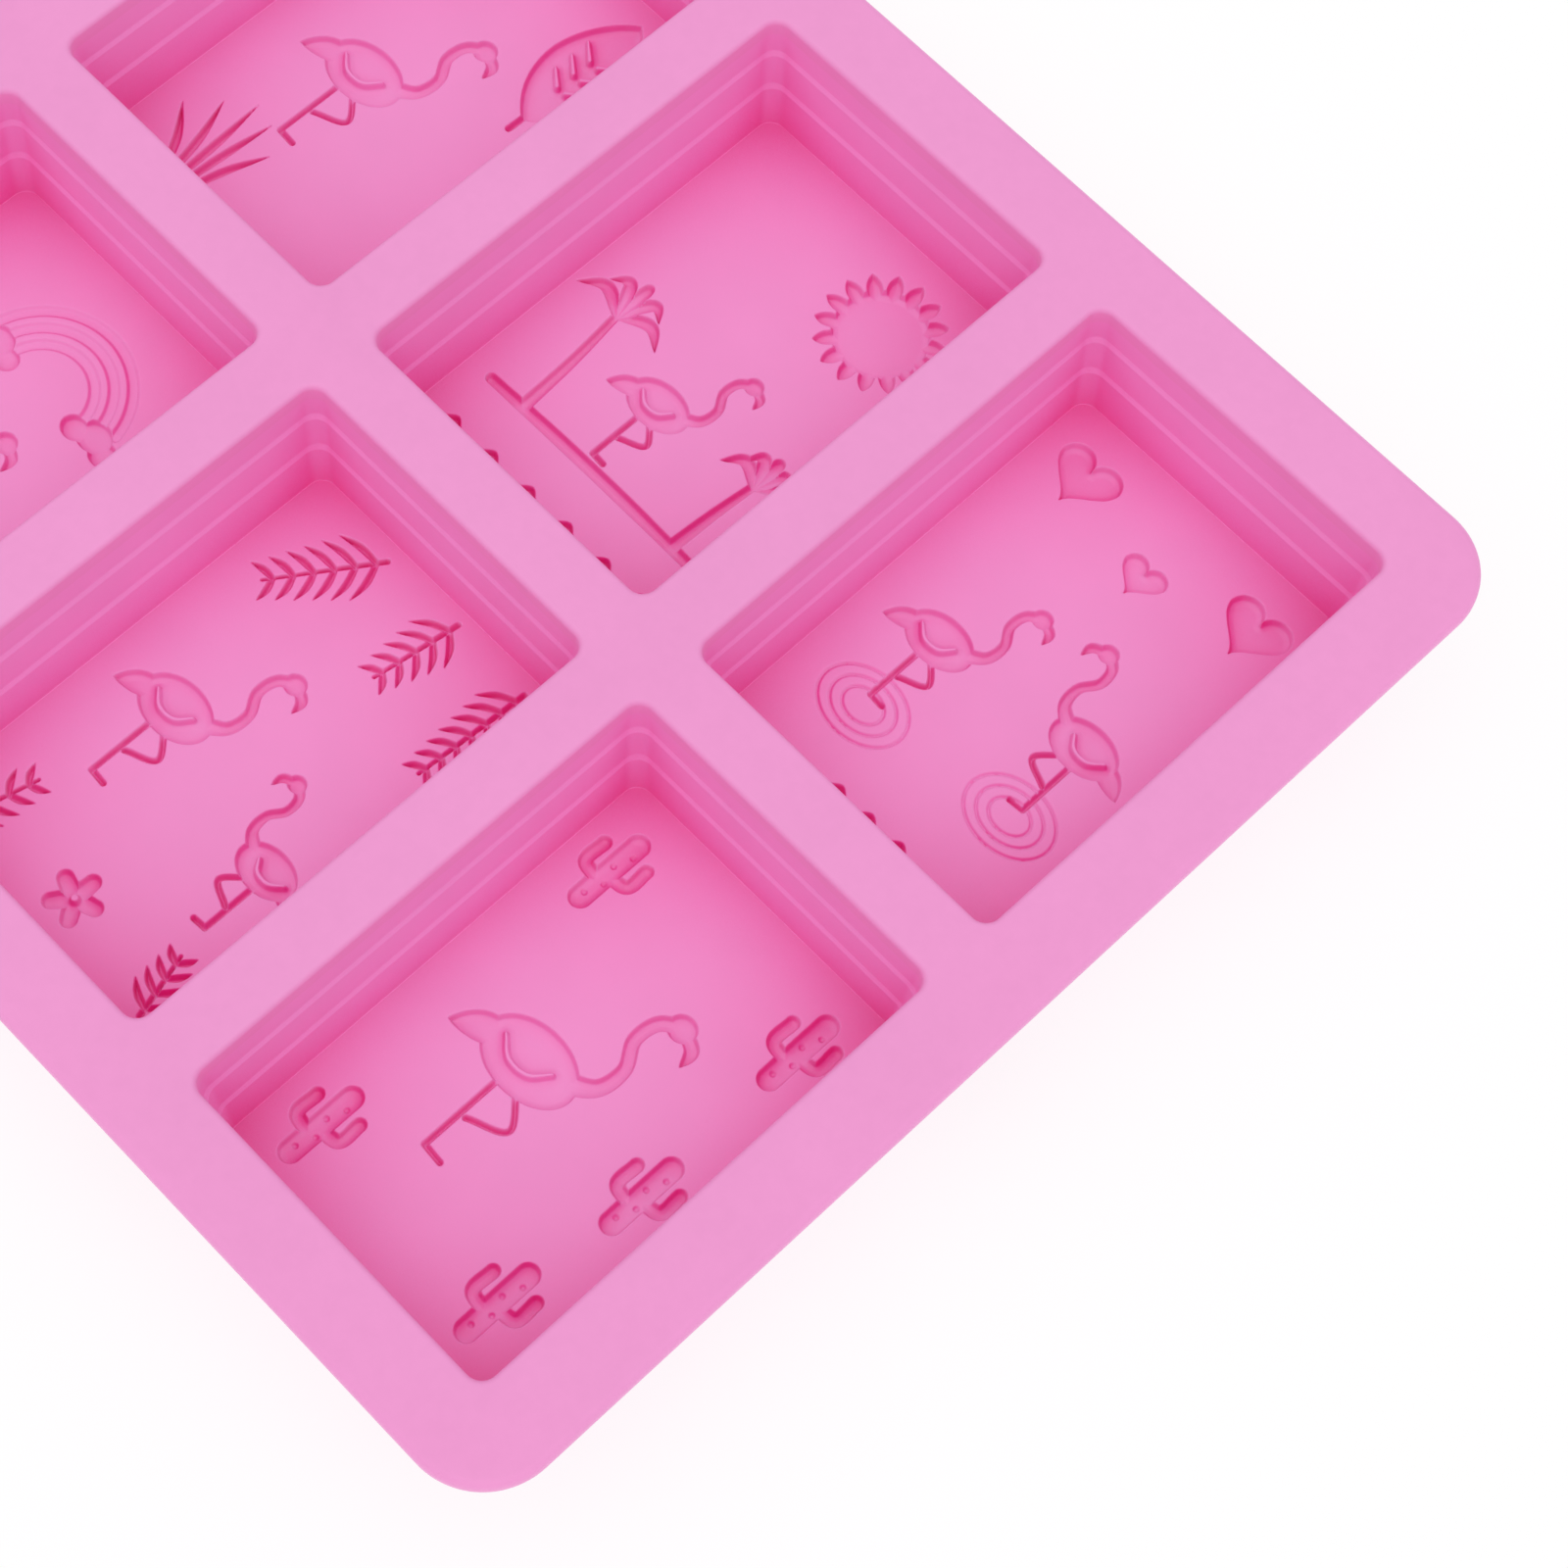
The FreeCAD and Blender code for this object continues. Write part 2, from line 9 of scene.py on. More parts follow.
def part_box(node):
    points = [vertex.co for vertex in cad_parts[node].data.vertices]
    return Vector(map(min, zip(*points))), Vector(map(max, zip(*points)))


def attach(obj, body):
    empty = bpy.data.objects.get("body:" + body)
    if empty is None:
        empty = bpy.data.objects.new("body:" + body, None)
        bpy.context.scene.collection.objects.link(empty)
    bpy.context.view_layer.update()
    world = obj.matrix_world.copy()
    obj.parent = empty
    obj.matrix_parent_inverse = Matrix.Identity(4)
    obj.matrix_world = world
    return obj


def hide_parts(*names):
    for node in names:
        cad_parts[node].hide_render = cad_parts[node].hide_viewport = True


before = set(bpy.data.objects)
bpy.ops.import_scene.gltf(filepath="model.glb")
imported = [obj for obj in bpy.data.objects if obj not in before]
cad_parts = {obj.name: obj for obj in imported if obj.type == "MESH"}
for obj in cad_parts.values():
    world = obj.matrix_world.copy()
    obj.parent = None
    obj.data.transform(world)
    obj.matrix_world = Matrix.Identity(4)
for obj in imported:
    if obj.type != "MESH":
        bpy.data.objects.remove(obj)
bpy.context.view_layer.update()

MM = 0.001

# ---- camera -------------------------------------------------------------
cam_data = bpy.data.cameras.new("camera")
cam_data.sensor_width = 36.0
cam_data.lens = 89.61
cam_data.clip_start, cam_data.clip_end = 0.02, 20.0
camera = bpy.data.objects.new("camera", cam_data)
bpy.context.scene.collection.objects.link(camera)
camera.matrix_world = Matrix((
    (0.69547238, -0.66914153, 0.26185451, 0.19813490),
    (0.71736161, 0.62559945, -0.30662297, -0.16034045),
    (0.04135813, 0.40109218, 0.91510358, 0.50485676),
    (0.0, 0.0, 0.0, 1.0)))
bpy.context.scene.camera = camera

# ---- sizes that the drawings and profiles are written in ------------------
WALL_OUT = 2.6           # cup wall outside the opening line, under the deck
FOOT_OUT = 1.5           # the same at the foot
CAVITY_R = 2.5           # plan corner of an opening
DECK_R = 11.5            # plan corner of the tray
LIP_R = 0.9
DECK_TOP_R = 1.3
DECK_UNDER_R = 1.0
LEDGE_1, LEDGE_2, LEDGE_W, LEDGE_H, DRAFT = 7.6, 14.6, 0.4, 0.8, 0.3
FLOOR_FILLET = 0.12
RELIEF_D = 1.5
SHALLOW_D = 0.48
DIMPLE_D = 0.34

EDGE_OUT, EDGE_IN = 0.17, 0.33   # how far a relief wall reaches outside and inside its outline
PITCH = 0.125
FLAT_TOL = 0.004
FLOOR_GLOW = 0.80
FLOOR_TONE = 0.22
DOME_LOW, DOME_TOP, DOME_FOCUS = 0.71, 1.08, 3.0
LIGHT_FROM = (0.17, -0.19, 0.966)
TOP_POWER = 0.0
# painted shade: occlusion samples; for walls and beds the power and depth of the painted shade in creases and the depth
# of the painted close-range shade; reach of the close-range shade
SHADE_SAMPLES = 4
WALL_SHADE = (5.2, 3.6, 0.24)   # power, depth, depth of the close-range part
BED_SHADE = (3.2, 1.6, 0.10)
NOOK_SHADE_REACH = 0.0055
RIDGE_H = 0.45

# ---- sunk pictures ----------------------------------------------------------
# Millimetres from the lower left corner of a cavity's opening.
def bird(s, cu, cv, k, d):
    # a plain wading bird built from simple strokes; k is its scale, d is 1 facing right or -1 facing left
    def at(u, v):
        return (cu + d * k * u, cv + k * v)

    s.append(("cut", "disc", cu, cv, 6.4 * k, 4.3 * k))
    s.append(("cut", "blade", 3.0 * k, 3.6 * k, [at(-3.0, 0.2), at(-6.4, -0.9), at(-9.8, -3.0)]))
    s.append(("cut", "line", [2.6 * k, 1.9 * k, 1.6 * k, 1.6 * k, 1.7 * k, 1.8 * k],
              [at(4.4, 1.0), at(7.4, 3.4), at(7.8, 6.8), at(6.0, 10.2), at(6.6, 13.4), at(8.6, 14.8)]))
    s.append(("cut", "disc", at(8.7, 14.7)[0], at(8.7, 14.7)[1], 1.75 * k, 1.6 * k))
    s.append(("cut", "blade", 1.5 * k, 1.6 * k, [at(9.4, 14.6), at(11.3, 13.6), at(11.7, 11.4)]))
    s.append(("cut", "line", .85, [at(-0.8, -3.4), at(-0.8, -9.0), at(-0.8, -14.6)]))
    s.append(("cut", "line", .85, [at(-0.8, -14.6), at(1.9, -14.8)]))
    s.append(("cut", "line", .85, [at(1.6, -3.4), at(4.4, -7.0), at(0.0, -9.4)]))
    s.append(("keep", "line", [.45, .65, .65, .45], [at(-4.2, 0.4), at(-1.8, -1.4), at(1.0, -1.2), at(2.8, 0.8)]))


def heart(cu, tip_v, wide, tall):
    right = []
    for i in range(1, 12):
        t = math.pi * (1.0 - i / 12.0)
        right.append((math.sin(t) ** 3 * .5,
                      (13 * math.cos(t) - 5 * math.cos(2 * t) - 2 * math.cos(3 * t) - math.cos(4 * t) + 17) / 29.0))
    pts = [(cu, tip_v, 1)] + [(cu + u * wide, tip_v + v * tall) for u, v in right]
    pts.append((cu, tip_v + tall * 22.0 / 29.0, 1))
    return pts + [(cu - u * wide, tip_v + v * tall) for u, v in right[::-1]]


def cactus(s, cu, cv, k):
    s.append(("cut", "line", 3.4 * k, [(cu, cv), (cu, cv + 5.5 * k), (cu, cv + 11.0 * k)]))
    s.append(("cut", "line", 2.0 * k, [(cu, cv + 3.6 * k), (cu - 3.4 * k, cv + 4.2 * k), (cu - 3.6 * k, cv + 8.0 * k)]))
    s.append(("cut", "line", 2.0 * k, [(cu, cv + 5.0 * k), (cu + 3.4 * k, cv + 5.6 * k), (cu + 3.6 * k, cv + 9.2 * k)]))
    for i in range(4):
        s.append(("dimple", "disc", cu + (.5 if i % 2 else -.5) * k, cv + (1.2 + 2.8 * i) * k, .48, .48))


def frond(s, bu, bv, tu, tv, count, reach):
    # a straight stem with even pairs of leaflets that shorten towards the tip
    du, dv = tu - bu, tv - bv
    n = math.hypot(du, dv)
    du, dv = du / n, dv / n
    s.append(("cut", "line", [.8, .6, .45], [(bu, bv), (bu + du * n * .5, bv + dv * n * .5), (tu, tv)]))
    for i in range(count):
        t = (i + .5) / count * n
        r = reach * (1.0 - .5 * i / count)
        pu, pv = bu + du * t, bv + dv * t
        for side in (-1, 1):
            s.append(("cut", "blade", .7, 1.0, [
                (pu, pv), (pu + du * r * .3 - side * dv * r * .45, pv + dv * r * .3 + side * du * r * .45),
                (pu + du * r * .7 - side * dv * r * .8, pv + dv * r * .7 + side * du * r * .8)]))


def palm(s, bu, bv, lean, tall, reach):
    cu, cv = bu + lean, bv + tall
    s.append(("cut", "line", [2.0, 1.6, 1.2], [(bu, bv), (bu + lean * .35, bv + tall * .5), (cu, cv)]))
    for deg in (12, 52, 90, 128, 168):
        c, n = math.cos(math.radians(deg)), math.sin(math.radians(deg))
        s.append(("cut", "blade", 1.1, 2.0, [(cu, cv), (cu + c * reach * .6, cv + n * reach * .6 + 1.2),
                                             (cu + c * reach, cv + n * reach * .75 - 1.6)]))


def waves(s, v, places):
    for u in places:
        s.append(("cut", "line", [.35, .85, .35], [(u - 1.6, v), (u, v + .9), (u + 1.6, v)]))


def cactus_picture():
    s = []
    bird(s, 22.0, 39.0, 1.25, 1)
    for cu, cv in ((9.0, 60.5), (46.2, 61.0), (46.4, 31.5), (9.4, 7.0), (44.0, 7.5)):
        cactus(s, cu, cv, 1.0)
    return s


def hearts_picture():
    s = []
    s.append(("cut", "poly", heart(11.0, 63.5, 11.0, 9.4)))
    s.append(("cut", "poly", heart(28.0, 59.5, 7.6, 6.4)))
    s.append(("cut", "poly", heart(45.0, 63.5, 11.0, 9.4)))
    bird(s, 15.2, 34.6, .9, 1)
    bird(s, 41.2, 37.6, .9, -1)
    for cu, cv in ((15.0, 19.4), (41.4, 22.4)):
        for r in (3.4, 5.4, 7.4):
            s.append(("shallow", "ring", cu, cv, r, r * .75, .42))
    waves(s, 7.2, (22.0, 28.0, 34.0))
    return s


def fern_picture():
    s = []
    bird(s, 15.6, 38.4, 1.0, 1)
    bird(s, 43.0, 31.4, .8, -1)
    frond(s, 18.6, 75.6, 8.6, 60.6, 6, 6.6)
    frond(s, 33.0, 76.2, 31.0, 62.0, 5, 5.6)
    frond(s, 47.6, 75.6, 46.4, 56.6, 7, 5.6)
    frond(s, 8.0, 5.4, 11.0, 17.4, 4, 5.0)
    frond(s, 47.4, 4.8, 44.6, 14.6, 4, 4.6)
    for i in range(5):
        c, n = math.cos(math.radians(90 + 72 * i)), math.sin(math.radians(90 + 72 * i))
        s.append(("cut", "line", [1.6, 2.6, 2.4], [(28.0, 9.6), (28.0 + 1.9 * c, 9.6 + 1.9 * n), (28.0 + 3.3 * c, 9.6 + 3.3 * n)]))
    s.append(("keep", "disc", 28.0, 9.6, .6, .6))
    return s


def palm_picture():
    s = []
    s.append(("cut", "disc", 40.0, 64.0, 7.4, 7.4))
    for i in range(16):
        c, n = math.cos(math.radians(22.5 * i + 7.0)), math.sin(math.radians(22.5 * i + 7.0))
        s.append(("cut", "blade", 2.2, 2.3, [(40.0 + 6.2 * c, 64.0 + 6.2 * n), (40.0 + 7.8 * c, 64.0 + 7.8 * n),
                                             (40.0 + 10.2 * c, 64.0 + 10.2 * n)]))
    palm(s, 13.0, 17.4, -1.8, 20.0, 8.6)
    palm(s, 44.6, 17.4, 1.0, 15.0, 6.6)
    bird(s, 26.4, 31.4, .85, 1)
    s.append(("cut", "line", [1.6, 2.0, 2.0, 1.6], [(6.4, 16.6), (20.0, 16.9), (36.0, 16.9), (50.0, 16.6)]))
    waves(s, 7.4, (8.0, 16.0, 24.0, 32.0, 40.0, 48.0))
    return s


def leaf_picture():
    s = []
    bird(s, 20.6, 38.2, 1.1, 1)
    s.append(("cut", "blade", 3.0, 13.0, [(43.0, 52.0), (43.0, 63.0), (43.0, 75.0)]))
    s.append(("cut", "line", 1.0, [(43.0, 54.0), (42.8, 47.6)]))
    for v in (58.2, 61.6, 65.0):
        for side in (-1, 1):
            s.append(("keep", "line", [.7, .45], [(43.0 + side * .9, v), (43.0 + side * 3.6, v + 2.2)]))
    for i, (du, dv) in enumerate(((-9.0, 10.0), (-5.4, 14.6), (-1.8, 18.0), (1.8, 17.0), (5.2, 13.2))):
        bu = 13.2 + 1.2 * i
        s.append(("cut", "blade", .9, 1.3, [(bu, 4.6), (bu + du * .35, 4.6 + dv * .55), (bu + du * .8, 4.6 + dv)]))
    for u, v, r in ((8.6, 63.0, 2.6), (12.2, 64.4, 3.2), (16.2, 63.2, 2.7)):
        s.append(("cut", "disc", u, v, r, r * .85))
    return s


def rainbow_picture():
    s = []
    for r in (8.0, 10.8, 13.6):
        pts = []
        for i in range(15):
            a = math.radians(14 + 152 * i / 14.0)
            pts.append((30.0 + r * math.cos(a), 57.0 + r * math.sin(a)))
        s.append(("shallow", "line", 1.7, pts))
    for cu in (19.0, 41.0):
        for du, dv, r in ((-3.0, 0.0, 2.3), (0.0, 1.1, 2.9), (3.2, 0.0, 2.3)):
            s.append(("cut", "disc", cu + du, 57.0 + dv, r, r * .85))
    bird(s, 24.0, 32.6, 1.05, 1)
    for u, v in ((12.0, 12.4), (24.0, 9.0), (42.0, 12.8), (35.0, 6.8)):
        s.append(("cut", "line", [.35, .8, .45, .8, .35], [(u - 4.2, v), (u - 2.1, v + 1.0), (u, v), (u + 2.1, v + 1.0), (u + 4.2, v)]))
    return s


MOTIFS = {"flamingo_cactus": cactus_picture, "flamingo_hearts": hearts_picture, "flamingo_fern": fern_picture,
          "flamingo_palm": palm_picture, "flamingo_leaf": leaf_picture, "flamingo_rainbow": rainbow_picture}



def catmull(pts, closed, step):
    """Smooth line through the points, sampled about every step mm; a third value of 1 keeps a corner."""
    n = len(pts)
    P = [(p[0], p[1]) for p in pts]
    corner = [len(p) > 2 and p[2] == 1 for p in pts]
    out = []
    last = n if closed else n - 1
    for i in range(last):
        p1, p2 = P[i], P[(i + 1) % n]
        p0 = P[(i - 1) % n] if (closed or i > 0) else p1
        p3 = P[(i + 2) % n] if (closed or i + 2 < n) else p2
        d = math.dist(p1, p2)
        if d < 1e-9:
            continue
        # finite tangents, limited by the neighbouring spans, straight at corners
        def tang(a, b, c, isc, fwd):
            if isc or a == b or b == c:
                return ((c[0] - b[0]), (c[1] - b[1])) if fwd else ((b[0] - a[0]), (b[1] - a[1]))
            d1, d2 = math.dist(a, b), math.dist(b, c)
            tx = ((b[0] - a[0]) / d1 * d2 + (c[0] - b[0]) / d2 * d1) / (d1 + d2)
            ty = ((b[1] - a[1]) / d1 * d2 + (c[1] - b[1]) / d2 * d1) / (d1 + d2)
            return (tx, ty)
        t1 = tang(p0, p1, p2, corner[i], True)
        t2 = tang(p1, p2, p3, corner[(i + 1) % n], False)
        if corner[i] or p0 == p1:
            m1 = ((p2[0] - p1[0]), (p2[1] - p1[1]))
        else:
            m1 = (t1[0] * d, t1[1] * d)
        if corner[(i + 1) % n] or p3 == p2:
            m2 = ((p2[0] - p1[0]), (p2[1] - p1[1]))
        else:
            m2 = (t2[0] * d, t2[1] * d)
        k = max(1, int(math.ceil(d / step)))
        for j in range(k):
            t = j / k
            h00 = 2 * t ** 3 - 3 * t ** 2 + 1
            h10 = t ** 3 - 2 * t ** 2 + t
            h01 = -2 * t ** 3 + 3 * t ** 2
            h11 = t ** 3 - t ** 2
            out.append((h00 * p1[0] + h10 * m1[0] + h01 * p2[0] + h11 * m2[0],
                        h00 * p1[1] + h10 * m1[1] + h01 * p2[1] + h11 * m2[1]))
    if not closed:
        out.append(P[-1])
    return out


def ribbon(line, widths, cap):
    """Closed outline around a line with a width at each point; cap round or pointed at the far end."""
    n = len(line)
    L, R = [], []
    for i, (x, y) in enumerate(line):
        a = line[max(i - 1, 0)]
        b = line[min(i + 1, n - 1)]
        d = math.dist(a, b) or 1.0
        nx, ny = -(b[1] - a[1]) / d, (b[0] - a[0]) / d
        w = widths[i] / 2
        L.append((x + nx * w, y + ny * w))
        R.append((x - nx * w, y - ny * w))

    def arc(c, start, w, k=4):
        res = []
        a0 = math.atan2(start[1] - c[1], start[0] - c[0])
        for j in range(1, k):
            a = a0 - math.pi * j / k
            res.append((c[0] + w * math.cos(a), c[1] + w * math.sin(a)))
        return res
    out = list(L)
    if cap == "round":
        out += arc(line[-1], L[-1], widths[-1] / 2)
        out += R[::-1]
    else:
        out += [line[-1]] + R[::-1][1:]
        out = [p for p in out[:n - 1]] + out[n:]
    out += arc(line[0], R[0], widths[0] / 2)
    return out


def outline(shape, step):
    """Closed polygon of any drawing entry."""
    kind = shape[1]
    if kind == "poly":
        return catmull(shape[2], True, step)
    if kind == "disc":
        _, _, cu, cv, ru, rv = shape
        k = max(12, int(2 * math.pi * max(ru, rv) / step))
        return [(cu + ru * math.cos(2 * math.pi * j / k), cv + rv * math.sin(2 * math.pi * j / k)) for j in range(k)]
    if kind == "line":
        w, pts = shape[2], shape[3]
        if not isinstance(w, (list, tuple)):
            w = [w] * len(pts)
        line = catmull(pts, False, step)
        # width follows the same parameter as the points
        acc = [0.0]
        for a, b in zip(pts, pts[1:]):
            acc.append(acc[-1] + math.dist(a[:2], b[:2]))
        ws, s = [], 0.0
        tot = sum(math.dist(a, b) for a, b in zip(line, line[1:]))
        for i, p in enumerate(line):
            if i:
                s += math.dist(line[i - 1], p)
            t = s / tot * acc[-1]
            j = 0
            while j < len(acc) - 2 and t > acc[j + 1]:
                j += 1
            f = (t - acc[j]) / max(acc[j + 1] - acc[j], 1e-9)
            ws.append(w[j] + (w[min(j + 1, len(w) - 1)] - w[j]) * min(max(f, 0), 1))
        return ribbon(line, ws, "round")
    if kind == "blade":
        base, wide, pts = shape[2], shape[3], shape[4]
        line = catmull(pts, False, step)
        n = len(line)
        ws = []
        for i in range(n):
            t = i / (n - 1)
            body = base + (wide - base) * math.sin(math.pi * min(t / 0.9, 1.0)) ** 1.0 if t < 0.45 else wide
            tip = 1.0 if t < 0.45 else (1 - ((t - 0.45) / 0.55) ** 1.6)
            ws.append(max(body * tip, 0.0))
        return ribbon(line, ws, "point")
    raise ValueError(kind)



def centre_line(shape, step):
    """Centre line and widths of a "line" or "blade" entry."""
    if shape[1] == "line":
        w, pts = shape[2], shape[3]
        if not isinstance(w, (list, tuple)):
            w = [w] * len(pts)
        line = np.array(catmull(pts, False, step))
        corner = np.concatenate([[0.0], np.cumsum([math.dist(a[:2], b[:2]) for a, b in zip(pts, pts[1:])])])
        run = np.concatenate([[0.0], np.cumsum(np.hypot(*np.diff(line, axis=0).T))])
        return line, np.interp(run / run[-1] * corner[-1], corner, w)
    base, wide, pts = shape[2], shape[3], shape[4]
    line = np.array(catmull(pts, False, step))
    t = np.linspace(0, 1, len(line))
    body = np.where(t < 0.45, base + (wide - base) * np.sin(np.pi * np.minimum(t / 0.9, 1.0)), wide)
    tip = np.where(t < 0.45, 1.0, 1 - (np.maximum(t - 0.45, 0) / 0.55) ** 1.6)
    return line, np.maximum(body * tip, 0.0)


# ---- distance fields of the drawings ---------------------------------------
REACH = 1.3              # how far from an edge distances are worked out


class Field:
    """Distances to a union of shapes on a square grid: negative inside, REACH at most."""

    def __init__(self, us, vs):
        self.us, self.vs, self.p = us, vs, us[1] - us[0]
        self.d = np.full((len(vs), len(us)), REACH)

    def window(self, lo_u, hi_u, lo_v, hi_v):
        i0 = max(int(math.floor((lo_u - self.us[0]) / self.p)), 0)
        i1 = min(int(math.ceil((hi_u - self.us[0]) / self.p)) + 1, len(self.us))
        j0 = max(int(math.floor((lo_v - self.vs[0]) / self.p)), 0)
        j1 = min(int(math.ceil((hi_v - self.vs[0]) / self.p)) + 1, len(self.vs))
        return (j0, j1, i0, i1) if i1 > i0 and j1 > j0 else None

    def strokes(self, pts, rads, closed=False):
        """Round-ended stroke with a radius at each point."""
        n = len(pts)
        for k in range(n if closed else n - 1):
            (ax, ay), (bx, by) = pts[k], pts[(k + 1) % n]
            ra, rb = rads[k], rads[(k + 1) % n]
            m = REACH + max(ra, rb)
            w = self.window(min(ax, bx) - m, max(ax, bx) + m, min(ay, by) - m, max(ay, by) + m)
            if w is None:
                continue
            j0, j1, i0, i1 = w
            u, v = self.us[None, i0:i1] - ax, self.vs[j0:j1, None] - ay
            dx, dy = bx - ax, by - ay
            t = np.clip((u * dx + v * dy) / max(dx * dx + dy * dy, 1e-12), 0, 1)
            dist = np.sqrt((u - t * dx) ** 2 + (v - t * dy) ** 2) - (ra + (rb - ra) * t)
            part = self.d[j0:j1, i0:i1]
            np.minimum(part, dist, out=part)

    def area(self, poly):
        """Filled closed outline."""
        poly = np.asarray(poly, float)
        w = self.window(poly[:, 0].min() - REACH, poly[:, 0].max() + REACH, poly[:, 1].min() - REACH, poly[:, 1].max() + REACH)
        if w is None:
            return
        j0, j1, i0, i1 = w
        own = Field(self.us[i0:i1], self.vs[j0:j1])
        own.strokes(poly, np.zeros(len(poly)), closed=True)
        flips = np.zeros((j1 - j0, i1 - i0 + 1), int)
        v0, u0 = own.vs[0], own.us[0]
        for k in range(len(poly)):
            (x0, y0), (x1, y1) = poly[k], poly[(k + 1) % len(poly)]
            if y0 == y1:
                continue
            a = int(math.ceil((min(y0, y1) - v0) / self.p))
            b = int(math.ceil((max(y0, y1) - v0) / self.p))
            rows = np.arange(max(a, 0), min(b, j1 - j0))
            if not len(rows):
                continue
            x = x0 + (own.vs[rows] - y0) * (x1 - x0) / (y1 - y0)
            flips[rows, np.clip(np.ceil((x - u0) / self.p).astype(int), 0, i1 - i0)] += 1
        inside = np.cumsum(flips, axis=1)[:, :-1] % 2 == 1
        part = self.d[j0:j1, i0:i1]
        np.minimum(part, np.where(inside, -own.d, own.d), out=part)


def add_shape(field, shape):
    if shape[1] == "ring":
        _, _, cu, cv, rx, ry, w = shape
        a = np.linspace(0, 2 * math.pi, 97)[:-1]
        field.strokes(np.stack([cu + rx * np.cos(a), cv + ry * np.sin(a)], 1), np.full(96, w / 2), closed=True)
    elif shape[1] in ("line", "blade"):
        line, widths = centre_line(shape, 0.3)
        field.strokes(line, widths / 2)
    else:
        field.area(outline(shape, 0.3))


def ease(t):
    t = np.clip(t, 0, 1)
    return t * t * (3 - 2 * t)


def rounded_box_distance(us, vs, cu, cv, hu, hv, r):
    qu, qv = np.abs(us[None, :] - cu) - (hu - r), np.abs(vs[:, None] - cv) - (hv - r)
    return np.hypot(np.maximum(qu, 0), np.maximum(qv, 0)) + np.minimum(np.maximum(qu, qv), 0) - r


def relief_depth(shapes, us, vs, area):
    """Depth of the sunk picture in mm at each grid point."""
    made = {}
    for shape in shapes:
        field = made.setdefault(shape[0], Field(us, vs))
        add_shape(field, shape)
    cut = made["cut"].d
    if "keep" in made:
        cut = np.maximum(cut, -made["keep"].d)
    cut = np.maximum(cut, area)
    wall = ease((EDGE_OUT - cut) / (EDGE_OUT + EDGE_IN))
    bowl = np.sin(np.clip(-cut / 1.25, 0, 1) * math.pi / 2)
    depth = RELIEF_D * (0.70 * wall + 0.30 * bowl)
    if "ridge" in made:
        depth = depth * (1 - RIDGE_H * ease((0.22 - made["ridge"].d) / 0.60))
    if "shallow" in made:
        d = np.maximum(made["shallow"].d, area)
        depth = np.maximum(depth, SHALLOW_D * ease((0.22 - d) / 0.62))
    if "dimple" in made:
        d = made["dimple"].d
        depth = depth + DIMPLE_D * ease((0.1 - d) / 0.42) * wall
    return depth


# ---- meshes ----------------------------------------------------------------
class Shell:
    """Vertices and faces of one piece, in mm."""

    def __init__(self):
        self.v, self.f, self.n = [], [], 0

    def add(self, pts):
        pts = np.asarray(pts, float)
        first, self.n = self.n, self.n + len(pts)
        self.v.append(pts)
        return np.arange(first, self.n)

    def strip(self, a, b):
        """Four-sided faces between two closed loops of the same count."""
        self.f.append(np.stack([a, np.roll(a, -1), np.roll(b, -1), b], 1))

    def faces(self, f):
        self.f.append(np.asarray(f, int))

    def piece(self, name, material, smooth_to=34.0):
        v = np.concatenate(self.v) * MM
        mesh = bpy.data.meshes.new(name)
        mesh.vertices.add(len(v))
        mesh.vertices.foreach_set("co", v.astype(np.float32).ravel())
        sizes = np.concatenate([np.full(len(f), f.shape[1], np.int32) for f in self.f])
        corners = np.concatenate([f.ravel() for f in self.f]).astype(np.int32)
        mesh.loops.add(len(corners))
        mesh.loops.foreach_set("vertex_index", corners)
        mesh.polygons.add(len(sizes))
        mesh.polygons.foreach_set("loop_start", np.concatenate([[0], np.cumsum(sizes)[:-1]]).astype(np.int32))
        mesh.update(calc_edges=True)
        mesh.validate()
        mesh.polygons.foreach_set("use_smooth", np.ones(len(mesh.polygons), bool))
        if smooth_to:
            mesh.set_sharp_from_angle(angle=math.radians(smooth_to))
        mesh.update()
        obj = bpy.data.objects.new(name, mesh)
        bpy.context.scene.collection.objects.link(obj)
        obj.data.materials.append(material)
        return obj


def loop_rr(cx, cy, hx, hy, r, z, corner_steps, side_x, side_y):
    """Anticlockwise rounded rectangle with half sizes hx, hy."""
    pts = []
    for k, (sx, sy) in enumerate(((1, -1), (1, 1), (-1, 1), (-1, -1))):
        ox, oy = cx + sx * (hx - r), cy + sy * (hy - r)
        for i in range(corner_steps + 1):
            a = math.radians(-90 + 90 * k + 90 * i / corner_steps)
            pts.append((ox + r * math.cos(a), oy + r * math.sin(a), z))
        n = side_y if k % 2 == 0 else side_x
        tx, ty = ((1, 1), (-1, 1), (-1, -1), (1, -1))[k]
        ex, ey = cx + tx * (hx - r), cy + ty * (hy - r)
        if k % 2 == 0:
            bx, by, qx, qy = cx + sx * hx, oy, cx + sx * hx, ey
        else:
            bx, by, qx, qy = ox, cy + sy * hy, ex, cy + sy * hy
        for i in range(1, n):
            t = i / n
            pts.append((bx + (qx - bx) * t, by + (qy - by) * t, z))
    return np.array(pts)


def arc(co, cz, r, a0, a1, n):
    """(offset, height) points round an arc, angles in degrees."""
    return [(co + r * math.cos(math.radians(a0 + (a1 - a0) * k / n)), cz + r * math.sin(math.radians(a0 + (a1 - a0) * k / n)))
            for k in range(n + 1)]


